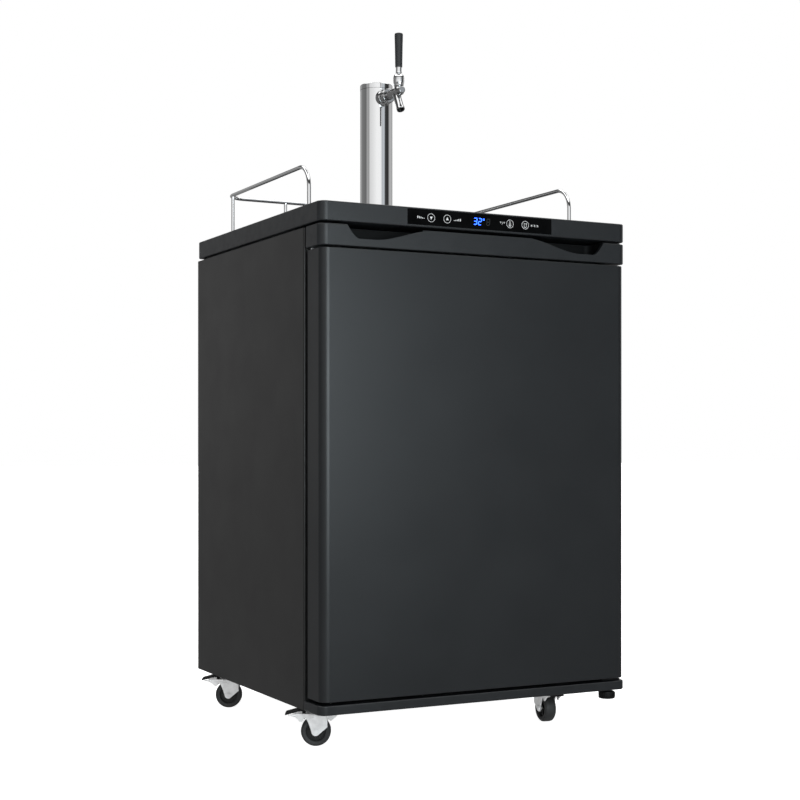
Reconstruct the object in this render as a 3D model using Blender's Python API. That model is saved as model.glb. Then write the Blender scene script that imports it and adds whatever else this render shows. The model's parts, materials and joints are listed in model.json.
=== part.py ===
"""Kegerator: a refrigerated keg cabinet on casters, with one draught tower on its worktop.

Dimensions are in millimetres and become metres where a mesh is made. The origin is on the floor, at
the middle of the footprint. +X is to the right of someone who faces the door, +Y is towards the back
and +Z is up.
"""

from math import asin, cos, degrees, pi, radians, sin

import bmesh
import bpy
from mathutils import Matrix, Vector

MM = 0.001

# Driving dimensions of the cabinet
WIDTH = 610.0
CABINET_DEPTH = 595.0
OVERALL_DEPTH = 645.0
CASTER_HEIGHT = 66.0
SHEET = 1.2
GAP = 0.3
CORNER = 14.6

HALF = WIDTH / 2
FRONT = -OVERALL_DEPTH / 2
REAR = OVERALL_DEPTH / 2
CABINET_REAR = FRONT + CABINET_DEPTH

# Heights, from the floor
BASE = CASTER_HEIGHT
PLINTH_TOP = BASE + 16.0
DOOR_BOTTOM = BASE + 21.5
DOOR_TOP = BASE + 770.0
TRIM_BOTTOM = BASE + 773.7
TRIM_TOP = BASE + 809.7
SIDE_TOP = BASE + 809.0
WORKTOP_BOTTOM = BASE + 813.7
WORKTOP_TOP = BASE + 846.6

# Depths
DOOR_BACK = FRONT + 58.0
CABINET_FRONT = FRONT + 67.0
LINER_FACE = CABINET_FRONT + 0.2

# Interior of the cabinet
LINER_WALL = 2.0
INSIDE_HALF = 264.5
INSIDE_FLOOR = 126.0
INSIDE_TOP = 825.0
INSIDE_STEP = 317.5
INSIDE_LOW_REAR = 182.5
INSIDE_REAR = 227.5
BAY_FRONT = 205.0
BAY_TOP = 281.5
FLANGE_INNER = INSIDE_HALF + LINER_WALL + 0.5
REAR_FLANGE = 20.0
REAR_HALF = HALF - REAR_FLANGE - 0.5

# Controls in the worktop's front
FASCIA_HALF = 143.6
FASCIA_Z = (BASE + 817.6, BASE + 843.8)
FASCIA_THICKNESS = 2.0
BOARD_HALF = 120.0
BOARD_Y = (FRONT + 4.5, FRONT + 6.1)
WINDOW = (17.0, 7.0)

# Door
DOOR_HALF = HALF - 3.0
HINGE_X = 282.0
HINGE_Y = -294.5
HINGE_PIN = 4.0
HINGE_HOLE = 4.7
HINGE_PLATE_X = (262.0, 301.0)
HINGE_PLATE_FRONT = HINGE_Y - 14.0
HINGE_SEAT_X = (266.0, 300.0)
HINGE_SEAT_Y = (-248.0, -205.0)
FOOT_HEIGHT = 14.0
FOOT_RADIUS = 15.5
FOOT_STUD = 5.0
LINER_SHEET_HALF = 295.5
PLUG_HALF = 258.0
PLUG_FLOOR = 132.0
PLUG_TOP = 819.0
PLUG_REACH = 10.0
GASKET_WIDTH = 16.0

# Finger pockets in the handle trim
POCKET_START = 49.0
POCKET_FLAT_START = 73.0
POCKET_FLAT_END = 100.0
POCKET_END = 212.0
POCKET_DEPTH = 23.0
LIP_STEP = 1.5
LIP_THICKNESS = 8.0
CHANNEL_BACK = 46.0
CHANNEL_FLOOR = 7.8

# Draught tower
TOWER_Y = 87.5
TOWER_RADIUS = 31.75
TOWER_BORE = 30.0
TOWER_TOP = WORKTOP_TOP + 306.0
TOWER_HOLE = 26.0
SHANK_Z = WORKTOP_TOP + 275.6
SHANK_RADIUS = 11.0
SHANK_BORE = 4.6
FAUCET_Y = -9.5
LEVER_Z = WORKTOP_TOP + 299.5
BALL = 7.7
BONNET_RADIUS = 9.9

# Shank and faucet
SHANK_FRONT = 36.8
SHANK_REAR = 80.0
NUT_FRONT = 31.5
NUT_REAR = 46.8
NUT_RADIUS = 14.0
ESCUTCHEON_RADIUS = 15.75
BARREL_RADIUS = 8.5
BARREL_FRONT = -24.5
NECK_RADIUS = 8.8
SPOUT_RADIUS = 7.15
SPOUT_BORE = 5.2
SPOUT_TILT = 29.4
SPOUT_TOP = (-0.5, SHANK_Z - 5.6)
SPOUT_LENGTH = 36.7
VALVE_RADIUS = 3.6

# Drip tray
TRAY_HALF = 150.0
TRAY_Y = (-118.0, 22.0)
TRAY_HEIGHT = 18.0
TRAY_WALL = 1.2
GRATE_SLOTS = 13
GRATE_PITCH = 20.0

# Guard rail
RAIL_RADIUS = 3.5
RAIL_HALF = 267.6
RAIL_FRONT = -192.5
RAIL_BACK = 210.5
RAIL_Z = WORKTOP_TOP + 83.0
RAIL_BEND = 40.0
RAIL_CORNER = 36.0
RAIL_BACK_POST = 142.0

# Casters: tag, swivel position and yaw in degrees, with the brake pedal on the local -X side
WHEEL_RADIUS = 25.5
WHEEL_HALF_WIDTH = 11.0
TRAIL = 11.0
CASTERS = [
    ("front_left", -262.0, -236.5, -27.2),
    ("rear_left", -262.0, 180.0, -27.2),
    ("front_right", 197.4, -211.0, 82.8),
    ("rear_right", 262.0, 180.0, 207.2),
]
BRAKE_PIVOT = (-26.0, 61.5)

# Cooling system at the back
COMPRESSOR = (110.0, 262.0)
COIL_HALF = 235.0
COIL_LOW = 345.0
COIL_PITCH = 46.0
COIL_PASSES = 11
COVER_TOP = 300.0
VENT_ROWS = (105.0, 195.0)
VENT_COUNT = 11
VENT_PITCH = 46.0
VENT_HEIGHT = 70.0
FAN_Z = 690.0
FAN_HALF = 50.0
FAN_THROAT = 44.0

# Gas cylinder and keg coupler
CYLINDER_X = -208.0
CYLINDER_Y = 112.5
CYLINDER_RADIUS = 55.5
MAT_TOP = INSIDE_FLOOR + GAP + 3.0
CYLINDER_FLOOR = MAT_TOP + GAP
VALVE_Z = 492.0
COUPLER_X = -205.0
COUPLER_Y = -95.0
COUPLER_PIVOT_Z = 178.0

# Slot: base colour, roughness, metallic
FINISHES = {
    "cabinet_paint": ((0.035, 0.035, 0.036), 0.45, 0.0),
    "door_paint": ((0.042, 0.046, 0.050), 0.42, 0.0),
    "trim_plastic": ((0.030, 0.032, 0.034), 0.50, 0.0),
    "fascia_gloss": ((0.004, 0.004, 0.005), 0.08, 0.0),
    "board": ((0.02, 0.15, 0.06), 0.50, 0.0),
    "liner_plastic": ((0.80, 0.81, 0.82), 0.40, 0.0),
    "foam": ((0.85, 0.78, 0.55), 0.90, 0.0),
    "galvanised": ((0.60, 0.61, 0.62), 0.40, 1.0),
    "back_steel": ((0.10, 0.10, 0.105), 0.50, 0.0),
    "chrome": ((0.88, 0.88, 0.89), 0.08, 1.0),
    "stainless": ((0.62, 0.62, 0.63), 0.28, 1.0),
    "black_rubber": ((0.015, 0.015, 0.016), 0.80, 0.0),
    "tyre": ((0.020, 0.021, 0.023), 0.70, 0.0),
    "zinc": ((0.75, 0.76, 0.77), 0.35, 1.0),
    "black_plastic": ((0.012, 0.012, 0.013), 0.45, 0.0),
    "black_enamel": ((0.010, 0.010, 0.011), 0.35, 0.0),
    "brass": ((0.72, 0.52, 0.22), 0.30, 1.0),
    "bottle_aluminium": ((0.70, 0.71, 0.72), 0.35, 1.0),
    "beer_hose": ((0.70, 0.72, 0.70), 0.25, 0.0),
    "gas_hose": ((0.30, 0.03, 0.03), 0.50, 0.0),
    "mat_grey": ((0.25, 0.26, 0.27), 0.70, 0.0),
}


# Shapes

def make(name, bm):
    """Closes a bmesh drawn in millimetres and makes it an object in metres."""
    bmesh.ops.remove_doubles(bm, verts=bm.verts, dist=0.001)
    bmesh.ops.recalc_face_normals(bm, faces=bm.faces)
    bmesh.ops.scale(bm, vec=(MM, MM, MM), verts=bm.verts)
    mesh = bpy.data.meshes.new(name)
    bm.to_mesh(mesh)
    bm.free()
    obj = bpy.data.objects.new(name, mesh)
    bpy.context.collection.objects.link(obj)
    return obj


def place(axis, u, v, w):
    """Puts plane coordinates u, v and the distance w along the axis in X, Y, Z order."""
    if axis == "X":
        return Vector((w, u, v))
    if axis == "Y":
        return Vector((u, w, v))
    return Vector((u, v, w))


def prism(name, outline, axis, span, bevel=0.0):
    """An outline extruded along an axis; bevel rounds the edges of its two ends."""
    bm = bmesh.new()
    ends = [[bm.verts.new(place(axis, u, v, w)) for u, v in outline] for w in span]
    count = len(outline)
    for index in range(count):
        after = (index + 1) % count
        bm.faces.new((ends[0][index], ends[0][after], ends[1][after], ends[1][index]))
    caps = [bm.faces.new(ring) for ring in ends]
    bmesh.ops.recalc_face_normals(bm, faces=bm.faces)
    if bevel:
        rims = [edge for cap in caps for edge in cap.edges]
        bmesh.ops.bevel(bm, geom=rims, offset=bevel, segments=2, profile=0.5, affect="EDGES")
    return make(name, bm)


def box(name, x, y, z):
    """A block between pairs of limits."""
    return prism(name, [(x[0], y[0]), (x[1], y[0]), (x[1], y[1]), (x[0], y[1])], "Z", z)


def arc(centre, radius, start, end, steps):
    """Points on an arc, angles in degrees."""
    angles = [radians(start + (end - start) * index / steps) for index in range(steps + 1)]
    return [(centre[0] + radius * cos(angle), centre[1] + radius * sin(angle)) for angle in angles]


def rounded_plan(half, y, front_radius, rear_radius=0.0, steps=5):
    """A rectangle in plan, symmetric in X, with rounded front corners and rear corners."""
    outline = arc((-half + front_radius, y[0] + front_radius), front_radius, 180, 270, steps)
    outline += arc((half - front_radius, y[0] + front_radius), front_radius, 270, 360, steps)
    if rear_radius:
        outline += arc((half - rear_radius, y[1] - rear_radius), rear_radius, 0, 90, steps)
        outline += arc((-half + rear_radius, y[1] - rear_radius), rear_radius, 90, 180, steps)
    else:
        outline += [(half, y[1]), (-half, y[1])]
    return outline


def lathe(name, profile, axis, centre, sides=24, ring=False):
    """Turns (radius, height) points about an axis. A ring's profile is a closed loop."""
    bm = bmesh.new()
    origin = Vector(centre)
    rows = []
    for radius, height in profile:
        if radius == 0:
            rows.append([bm.verts.new(origin + place(axis, 0, 0, height))])
            continue
        angles = [2 * pi * index / sides for index in range(sides)]
        row = [origin + place(axis, radius * cos(angle), radius * sin(angle), height) for angle in angles]
        rows.append([bm.verts.new(point) for point in row])
    pairs = list(zip(rows, rows[1:]))
    if ring:
        pairs.append((rows[-1], rows[0]))
    for low, high in pairs:
        for index in range(sides):
            after = (index + 1) % sides
            corners = [low[index % len(low)], low[after % len(low)],
                       high[after % len(high)], high[index % len(high)]]
            bm.faces.new(list(dict.fromkeys(corners)))
    return make(name, bm)


def rod(name, axis, centre, radius, span, sides=16):
    """A plain cylinder; centre gives the two coordinates across the axis."""
    profile = [(0, span[0]), (radius, span[0]), (radius, span[1]), (0, span[1])]
    middle = place(axis, centre[0], centre[1], 0.0)
    return lathe(name, profile, axis, middle, sides)


def washer(name, axis, centre, inner, outer, span, sides=24):
    """A plain ring."""
    profile = [(inner, span[0]), (outer, span[0]), (outer, span[1]), (inner, span[1])]
    return lathe(name, profile, axis, place(axis, centre[0], centre[1], 0.0), sides, ring=True)


def sweep(name, path, radius, sides=8):
    """A round bar along a path, with flat ends."""
    bm = bmesh.new()
    points = [Vector(point) for point in path]
    tangents = [(points[min(i + 1, len(points) - 1)] - points[max(i - 1, 0)]).normalized()
                for i in range(len(points))]
    across = tangents[0].orthogonal().normalized()
    rings = []
    for point, tangent in zip(points, tangents):
        across = (across - tangent * across.dot(tangent)).normalized()
        other = tangent.cross(across)
        angles = [2 * pi * index / sides for index in range(sides)]
        ring = [point + radius * (cos(angle) * across + sin(angle) * other) for angle in angles]
        rings.append([bm.verts.new(corner) for corner in ring])
    for low, high in zip(rings, rings[1:]):
        for index in range(sides):
            after = (index + 1) % sides
            bm.faces.new((low[index], low[after], high[after], high[index]))
    bm.faces.new(rings[0])
    bm.faces.new(rings[-1])
    return make(name, bm)


def smooth_path(points, steps=6):
    """A Catmull-Rom curve through the points."""
    known = [Vector(point) for point in points]
    known = [known[0] * 2 - known[1]] + known + [known[-1] * 2 - known[-2]]
    path = []
    for index in range(1, len(known) - 2):
        a, b, c, d = known[index - 1:index + 3]
        for step in range(steps):
            t = step / steps
            path.append(0.5 * (2 * b + (c - a) * t + (2 * a - 5 * b + 4 * c - d) * t ** 2
                               + (3 * b - a - 3 * c + d) * t ** 3))
    path.append(known[-2])
    return path


def combine(target, tools, operation):
    """Cuts the tools from the target, or joins them to it, and removes them."""
    for tool in tools:
        modifier = target.modifiers.new(operation.lower(), "BOOLEAN")
        modifier.operation = operation
        modifier.solver = "EXACT"
        modifier.object = tool
        evaluated = target.evaluated_get(bpy.context.evaluated_depsgraph_get())
        mesh = bpy.data.meshes.new_from_object(evaluated)
        target.modifiers.clear()
        target.data = mesh
        bpy.data.objects.remove(tool)
    return target


def cut(target, *tools):
    return combine(target, tools, "DIFFERENCE")


def join(target, *tools):
    return combine(target, tools, "UNION")


def turned_about_z(obj, yaw, x, y):
    """Turns a mesh by yaw degrees about its own Z axis and moves it to x, y."""
    obj.data.transform(Matrix.Translation((x * MM, y * MM, 0)) @ Matrix.Rotation(radians(yaw), 4, "Z"))
    return obj


def finish(obj, slot):
    """Gives an object its material and smooth shading with sharp creases."""
    material = bpy.data.materials.get(slot)
    if material is None:
        colour, roughness, metallic = FINISHES[slot]
        material = bpy.data.materials.new(slot)
        material.use_nodes = True
        shader = material.node_tree.nodes["Principled BSDF"]
        shader.inputs["Base Color"].default_value = (*colour, 1.0)
        shader.inputs["Roughness"].default_value = roughness
        shader.inputs["Metallic"].default_value = metallic
    obj.data.name = obj.name
    obj.data.materials.clear()
    obj.data.materials.append(material)
    obj.data.shade_smooth()
    obj.data.set_sharp_from_angle(angle=radians(35))
    return obj


def pivot(name, x, y, z, *pieces):
    """An empty on a joint's axis that carries the pieces which move about it."""
    empty = bpy.data.objects.new(name, None)
    empty.location = (x * MM, y * MM, z * MM)
    empty.empty_display_size = 0.03
    bpy.context.collection.objects.link(empty)
    for piece in pieces:
        piece.parent = empty
        piece.matrix_parent_inverse = Matrix.Translation(empty.location).inverted()
    return empty


# Cabinet shell

def side_panel(name, side):
    """Folded sheet: outer face, a wide front flange for the gasket and a narrow rear flange."""
    outline = [
        (HALF, CABINET_FRONT), (HALF, CABINET_REAR),
        (HALF - REAR_FLANGE, CABINET_REAR), (HALF - REAR_FLANGE, CABINET_REAR - SHEET),
        (HALF - SHEET, CABINET_REAR - SHEET), (HALF - SHEET, CABINET_FRONT + SHEET),
        (FLANGE_INNER, CABINET_FRONT + SHEET), (FLANGE_INNER, CABINET_FRONT),
    ]
    panel = prism(name, [(side * x, y) for x, y in outline], "Z", (BASE, SIDE_TOP))
    return finish(panel, "cabinet_paint")


def back_panel():
    """One folded sheet: the back, the roof of the compressor bay and the bay's front wall."""
    back = CABINET_REAR
    outline = [
        (back, SIDE_TOP - 1.0), (back, BAY_TOP), (BAY_FRONT, BAY_TOP), (BAY_FRONT, BASE + 3.0),
        (BAY_FRONT - SHEET, BASE + 3.0), (BAY_FRONT - SHEET, BAY_TOP + SHEET),
        (back - SHEET, BAY_TOP + SHEET), (back - SHEET, SIDE_TOP - 1.0),
    ]
    return finish(prism("back_panel", outline, "X", (-REAR_HALF, REAR_HALF)), "back_steel")


def base_pan():
    """Floor sheet with a front upstand and holes for the caster stems."""
    low = BASE + GAP
    half = HALF - 1.5
    corner_y = CABINET_REAR - 1.5
    right = [(half, CABINET_FRONT + 1.5), (half, corner_y), (REAR_HALF, corner_y), (REAR_HALF, REAR - 1.0)]
    outline = right + [(-x, y) for x, y in reversed(right)]
    pan = prism("base_pan", outline, "Z", (low, low + 2.0))
    flange = FLANGE_INNER - GAP
    upstand = box("upstand", (-flange, flange), (CABINET_FRONT, CABINET_FRONT + 2.0),
                  (low, INSIDE_FLOOR - LINER_WALL - GAP))
    join(pan, upstand)
    holes = [rod("hole", "Z", (x, y), 4.6, (BASE - 2.0, BASE + 5.0)) for _, x, y, _ in CASTERS]
    return finish(cut(pan, *holes), "galvanised")


def top_deck():
    """Sheet under the worktop, with a front rail that the gasket seals on."""
    deck = box("top_deck", (-HALF + 1.5, HALF - 1.5), (CABINET_FRONT + 1.5, CABINET_REAR - 1.5),
               (SIDE_TOP - SHEET, SIDE_TOP))
    flange = FLANGE_INNER - GAP
    rail = box("rail", (-flange, flange), (CABINET_FRONT, CABINET_FRONT + 2.0),
               (INSIDE_TOP + LINER_WALL + GAP, SIDE_TOP))
    join(deck, rail)
    cut(deck, rod("hole", "Z", (0, TOWER_Y), TOWER_HOLE, (SIDE_TOP - 5, SIDE_TOP + 5), 24))
    return finish(deck, "galvanised")


def inside_outline(grow, front):
    """Side view of the interior, stepped over the compressor bay and grown outwards."""
    return [
        (front, INSIDE_FLOOR - grow), (INSIDE_LOW_REAR + grow, INSIDE_FLOOR - grow),
        (INSIDE_LOW_REAR + grow, INSIDE_STEP - grow), (INSIDE_REAR + grow, INSIDE_STEP - grow),
        (INSIDE_REAR + grow, INSIDE_TOP + grow), (front, INSIDE_TOP + grow),
    ]


def inside_block(name, grow, front):
    half = INSIDE_HALF + grow
    return prism(name, inside_outline(grow, front), "X", (-half, half))


def tower_hole(radius):
    return rod("hole", "Z", (0, TOWER_Y), radius, (INSIDE_TOP - 10, WORKTOP_TOP + 10), 24)


def inner_liner():
    """Moulded lining of the cabinet, open at the front."""
    liner = inside_block("inner_liner", LINER_WALL, LINER_FACE)
    cut(liner, inside_block("hollow", 0.0, LINER_FACE - 5.0), tower_hole(TOWER_HOLE))
    return finish(liner, "liner_plastic")


def insulation_foam():
    """Foam between the liner and the outer sheets."""
    front = CABINET_FRONT + 2.0 + GAP
    rear = CABINET_REAR - SHEET - 0.4
    outline = [
        (front, BASE + 3.0), (BAY_FRONT - SHEET - GAP, BASE + 3.0),
        (BAY_FRONT - SHEET - GAP, BAY_TOP + SHEET + GAP), (rear, BAY_TOP + SHEET + GAP),
        (rear, SIDE_TOP - SHEET - 0.4), (front, SIDE_TOP - SHEET - 0.4),
    ]
    half = HALF - SHEET - 0.4
    foam = prism("insulation_foam", outline, "X", (-half, half))
    cut(foam, inside_block("hollow", LINER_WALL + GAP, front - 5.0), tower_hole(TOWER_HOLE + GAP))
    return finish(foam, "foam")


def worktop():
    """Thick moulded top with a seating pad below, a front pocket for the controls and a tower hole."""
    outline = rounded_plan(HALF, (FRONT, CABINET_REAR), CORNER, 10.0)
    top = prism("worktop", outline, "Z", (WORKTOP_BOTTOM, WORKTOP_TOP), bevel=2.0)
    pad_y = (HINGE_SEAT_Y[1] + 5, CABINET_REAR - 10)
    join(top, box("pad", (-HALF + 10, HALF - 10), pad_y, (SIDE_TOP + GAP, WORKTOP_BOTTOM + 1)))
    low, high = FASCIA_Z
    glass_half, glass_back = FASCIA_HALF + GAP, FRONT + FASCIA_THICKNESS + GAP
    glass_seat = box("seat", (-glass_half, glass_half), (FRONT - 5, glass_back), (low - GAP, high + GAP))
    board_half, board_back = BOARD_HALF + 3, FRONT + 12.0
    board_seat = box("seat", (-board_half, board_half), (FRONT - 5, board_back), (low + 2, high - 2))
    cut(top, glass_seat, board_seat, tower_hole(TOWER_HOLE))
    return finish(top, "trim_plastic")


def front_plinth():
    """Ledge below the door, with a blind hole for the levelling foot's stud."""
    outline = rounded_plan(HALF, (FRONT, CABINET_FRONT - 0.5), CORNER)
    plinth = prism("front_plinth", outline, "Z", (BASE, PLINTH_TOP), bevel=1.5)
    cut(plinth, rod("hole", "Z", (HINGE_X, HINGE_Y), FOOT_STUD + 0.4, (BASE - 5, PLINTH_TOP - 2)))
    return finish(plinth, "trim_plastic")


def hinges():
    """Brackets with pins, fixed to the cabinet above and below the door."""
    wide = HINGE_PLATE_X
    plate_z = (TRIM_TOP + 1.1, TRIM_TOP + 3.1)
    upper = box("upper_hinge", wide, (HINGE_PLATE_FRONT, HINGE_SEAT_Y[1]), plate_z)
    seat = box("seat", HINGE_SEAT_X, HINGE_SEAT_Y, (SIDE_TOP + GAP, plate_z[0] + 0.5))
    upper_pin = rod("pin", "Z", (HINGE_X, HINGE_Y), HINGE_PIN, (TRIM_TOP - 11.7, plate_z[0] + 0.5))
    finish(join(upper, seat, upper_pin), "zinc")

    plate_z = (PLINTH_TOP + GAP, PLINTH_TOP + 2.3)
    lower = box("lower_hinge", wide, (HINGE_PLATE_FRONT, CABINET_FRONT - 2.0), plate_z)
    tab = box("tab", wide, (CABINET_FRONT - 1.8, CABINET_FRONT - 0.3), (plate_z[0], plate_z[0] + 22))
    bend = box("bend", wide, (CABINET_FRONT - 3.0, CABINET_FRONT - 0.3), plate_z)
    lower_pin = rod("pin", "Z", (HINGE_X, HINGE_Y), HINGE_PIN, (plate_z[1] - 0.5, plate_z[1] + 14))
    finish(join(lower, bend, tab, lower_pin), "zinc")


def levelling_foot():
    """Foot under the hinge corner, on a threaded stud."""
    foot_z = BASE - 18.5
    top, stud_top = foot_z + FOOT_HEIGHT, foot_z + 31
    rim = FOOT_RADIUS - 1.2
    profile = [(0, foot_z), (rim, foot_z), (FOOT_RADIUS, foot_z + 1.5), (FOOT_RADIUS, top - 1.5)]
    profile += [(rim, top), (FOOT_STUD, top), (FOOT_STUD, stud_top), (0, stud_top)]
    foot = lathe("levelling_foot", profile, "Z", (HINGE_X, HINGE_Y, 0), 16)
    finish(foot, "black_plastic")
    pivot("foot_slide", HINGE_X, HINGE_Y, foot_z, foot)


# Controls

def controls():
    """Gloss strip flush in the worktop's front, with the display board behind it."""
    back = FRONT + FASCIA_THICKNESS
    fascia = box("control_fascia", (-FASCIA_HALF, FASCIA_HALF), (FRONT, back), FASCIA_Z)
    finish(fascia, "fascia_gloss")
    middle = sum(FASCIA_Z) / 2
    board = box("display_board", (-BOARD_HALF, BOARD_HALF), BOARD_Y, (middle - 10, middle + 10))
    half, height = WINDOW
    window_z = (middle - height, middle + height)
    window = box("window", (-half, half), (back + 0.4, BOARD_Y[0] + 0.5), window_z)
    finish(join(board, window), "board")


# Door

def door_plan(inset, y_back):
    return rounded_plan(DOOR_HALF - inset, (FRONT + inset, y_back), CORNER - inset)


def pin_hole(z):
    return rod("hole", "Z", (HINGE_X, HINGE_Y), HINGE_HOLE, z)


def liner_rebate(z):
    """Space for the door liner's sheet in the back of the outer pieces."""
    half = LINER_SHEET_HALF + GAP
    return box("rebate", (-half, half), (DOOR_BACK - LINER_WALL - GAP, DOOR_BACK + 5), z)


def door_skin():
    """Outer steel pan of the door, open at the back."""
    skin = prism("door_skin", door_plan(0.0, DOOR_BACK), "Z", (DOOR_BOTTOM, DOOR_TOP), bevel=2.5)
    hollow_z = (DOOR_BOTTOM + SHEET, DOOR_TOP - SHEET)
    hollow = prism("hollow", door_plan(SHEET, DOOR_BACK + 5), "Z", hollow_z)
    rebate = liner_rebate((DOOR_TOP - 5, DOOR_TOP + 5))
    cut(skin, hollow, rebate, pin_hole((DOOR_BOTTOM - 5, DOOR_BOTTOM + 5)))
    return finish(skin, "door_paint")


def door_foam():
    inset = SHEET + 0.4
    foam_z = (DOOR_BOTTOM + inset, DOOR_TOP - inset)
    foam = prism("door_foam", door_plan(inset, DOOR_BACK - LINER_WALL - GAP), "Z", foam_z)
    cut(foam, pin_hole((DOOR_BOTTOM - 5, DOOR_BOTTOM + 13)))
    return finish(foam, "foam")


def door_liner():
    """Inner panel of the door, pressed out into a shallow plug that enters the cabinet."""
    sheet = LINER_WALL
    reach = CABINET_FRONT + PLUG_REACH
    half = LINER_SHEET_HALF
    liner_z = (DOOR_BOTTOM + 2, TRIM_TOP - 1.7)
    liner = box("door_liner", (-half, half), (DOOR_BACK - sheet, DOOR_BACK), liner_z)
    plug = box("plug", (-PLUG_HALF, PLUG_HALF), (DOOR_BACK - 1, reach), (PLUG_FLOOR, PLUG_TOP))
    hollow = box("hollow", (-PLUG_HALF + sheet, PLUG_HALF - sheet), (DOOR_BACK - 10, reach - sheet),
                 (PLUG_FLOOR + sheet, PLUG_TOP - sheet))
    return finish(cut(join(liner, plug), hollow), "liner_plastic")


def door_gasket():
    """Magnetic seal round the door's inner face."""
    y = (DOOR_BACK + GAP, CABINET_FRONT - GAP)
    half = INSIDE_HALF - 0.5
    z = (INSIDE_FLOOR - 2, INSIDE_TOP + 4)
    gasket = box("door_gasket", (-half - GASKET_WIDTH, half + GASKET_WIDTH), y,
                 (z[0] - GASKET_WIDTH, z[1] + GASKET_WIDTH))
    cut(gasket, box("inside", (-half, half), (y[0] - 5, y[1] + 5), z))
    return finish(gasket, "black_rubber")


def lip_drop(distance):
    """How far the trim's front lip drops at this distance from the door's edge."""
    if distance < POCKET_FLAT_START:
        part = (distance - POCKET_START) / (POCKET_FLAT_START - POCKET_START)
        return POCKET_DEPTH * sin(pi / 2 * part)
    if distance < POCKET_FLAT_END:
        return POCKET_DEPTH
    part = min(1.0, (distance - POCKET_FLAT_END) / (POCKET_END - POCKET_FLAT_END))
    return POCKET_DEPTH - (POCKET_DEPTH - LIP_STEP) * part * part * (3 - 2 * part)


def lip_outline():
    """The space above the wavy front lip, from one pocket's end to the other's."""
    steps = 7
    rising = [POCKET_START + (POCKET_FLAT_START - POCKET_START) * i / steps for i in range(steps + 1)]
    falling = [POCKET_FLAT_END + (POCKET_END - POCKET_FLAT_END) * i / (steps + 2) for i in range(steps + 3)]
    left = [(distance - HALF, TRIM_TOP - lip_drop(distance)) for distance in rising + falling]
    right = [(-x, z) for x, z in reversed(left)]
    above = TRIM_TOP + 5
    return [(left[0][0], above)] + left + right + [(right[-1][0], above)]


def door_handle_trim():
    """Moulded strip above the door panel, with a finger pocket behind its lip at either end."""
    trim = prism("door_handle_trim", rounded_plan(HALF, (FRONT, DOOR_BACK), CORNER), "Z",
                 (TRIM_BOTTOM, TRIM_TOP), bevel=1.5)
    lip = prism("lip", lip_outline(), "Y", (FRONT - 5, FRONT + LIP_THICKNESS))
    channel_y = (FRONT + LIP_THICKNESS - 0.5, FRONT + CHANNEL_BACK)
    channel_z = (TRIM_BOTTOM + CHANNEL_FLOOR, TRIM_TOP + 5)
    inner, outer = HALF - 195.0, HALF - POCKET_START - 1.0
    channels = [box("channel", tuple(sorted((side * inner, side * outer))), channel_y, channel_z)
                for side in (-1, 1)]
    rebate = liner_rebate((TRIM_BOTTOM - 5, TRIM_TOP - 1.4))
    cut(trim, lip, *channels, rebate, pin_hole((TRIM_TOP - 13, TRIM_TOP + 5)))
    return finish(trim, "trim_plastic")


def door():
    pieces = [door_skin(), door_foam(), door_liner(), door_gasket(), door_handle_trim()]
    pivot("door_hinge", HINGE_X, HINGE_Y, DOOR_BOTTOM, *pieces)


# Cooling

def compressor():
    """Oval pressed-steel pot on a foot plate, with a terminal cover at its side."""
    x, y = COMPRESSOR
    foot_z = BASE + 6.0
    profile = [(0, foot_z), (48, foot_z), (51, foot_z + 8), (52, foot_z + 60), (51, foot_z + 95),
               (46, foot_z + 125), (34, foot_z + 142), (16, foot_z + 150), (0, foot_z + 152)]
    pot = lathe("compressor", profile, "Z", (0, 0, 0), 24)
    stretch = Matrix.Diagonal((1.45, 1.0, 1.0, 1.0))
    pot.data.transform(Matrix.Translation((x * MM, y * MM, 0)) @ stretch)
    plate = box("plate", (x - 95, x + 95), (y - 45, y + 45), (foot_z - 1, foot_z + 2))
    cover = box("cover", (x + 60, x + 92), (y - 22, y + 22), (foot_z + 40, foot_z + 95))
    return finish(join(pot, plate, cover), "black_enamel")


def condenser_coil():
    """Serpentine tube on the back of the cabinet."""
    y = CABINET_REAR + 17.0
    bend = COIL_PITCH / 2
    path = []
    for number in range(COIL_PASSES):
        side = 1 if number % 2 == 0 else -1
        z = COIL_LOW + COIL_PITCH * number
        path.append((-side * COIL_HALF, y, z))
        path.append((side * COIL_HALF, y, z))
        if number < COIL_PASSES - 1:
            turn = arc((0, z + bend), bend, -90, 90, 4)[1:-1]
            path += [(side * (COIL_HALF + u), y, v) for u, v in turn]
    return finish(sweep("condenser_coil", path, 2.4, 6), "black_enamel")


def rear_cover():
    """Vented sheet cover over the compressor bay."""
    y = (CABINET_REAR + GAP, REAR)
    low, high = BASE + 3.0, COVER_TOP
    inner = REAR_HALF - SHEET
    cover = box("rear_cover", (-REAR_HALF, REAR_HALF), y, (low, high))
    cut(cover, box("hollow", (-inner, inner), (y[0] - 5, y[1] - SHEET), (low + SHEET, high - SHEET)))
    slots = []
    for row_z in VENT_ROWS:
        for number in range(VENT_COUNT):
            x = VENT_PITCH * (number - (VENT_COUNT - 1) / 2)
            slots.append(box("slot", (x - 3, x + 3), (y[1] - 5, y[1] + 5), (row_z, row_z + VENT_HEIGHT)))
    return finish(cut(cover, *slots), "back_steel")


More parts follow.
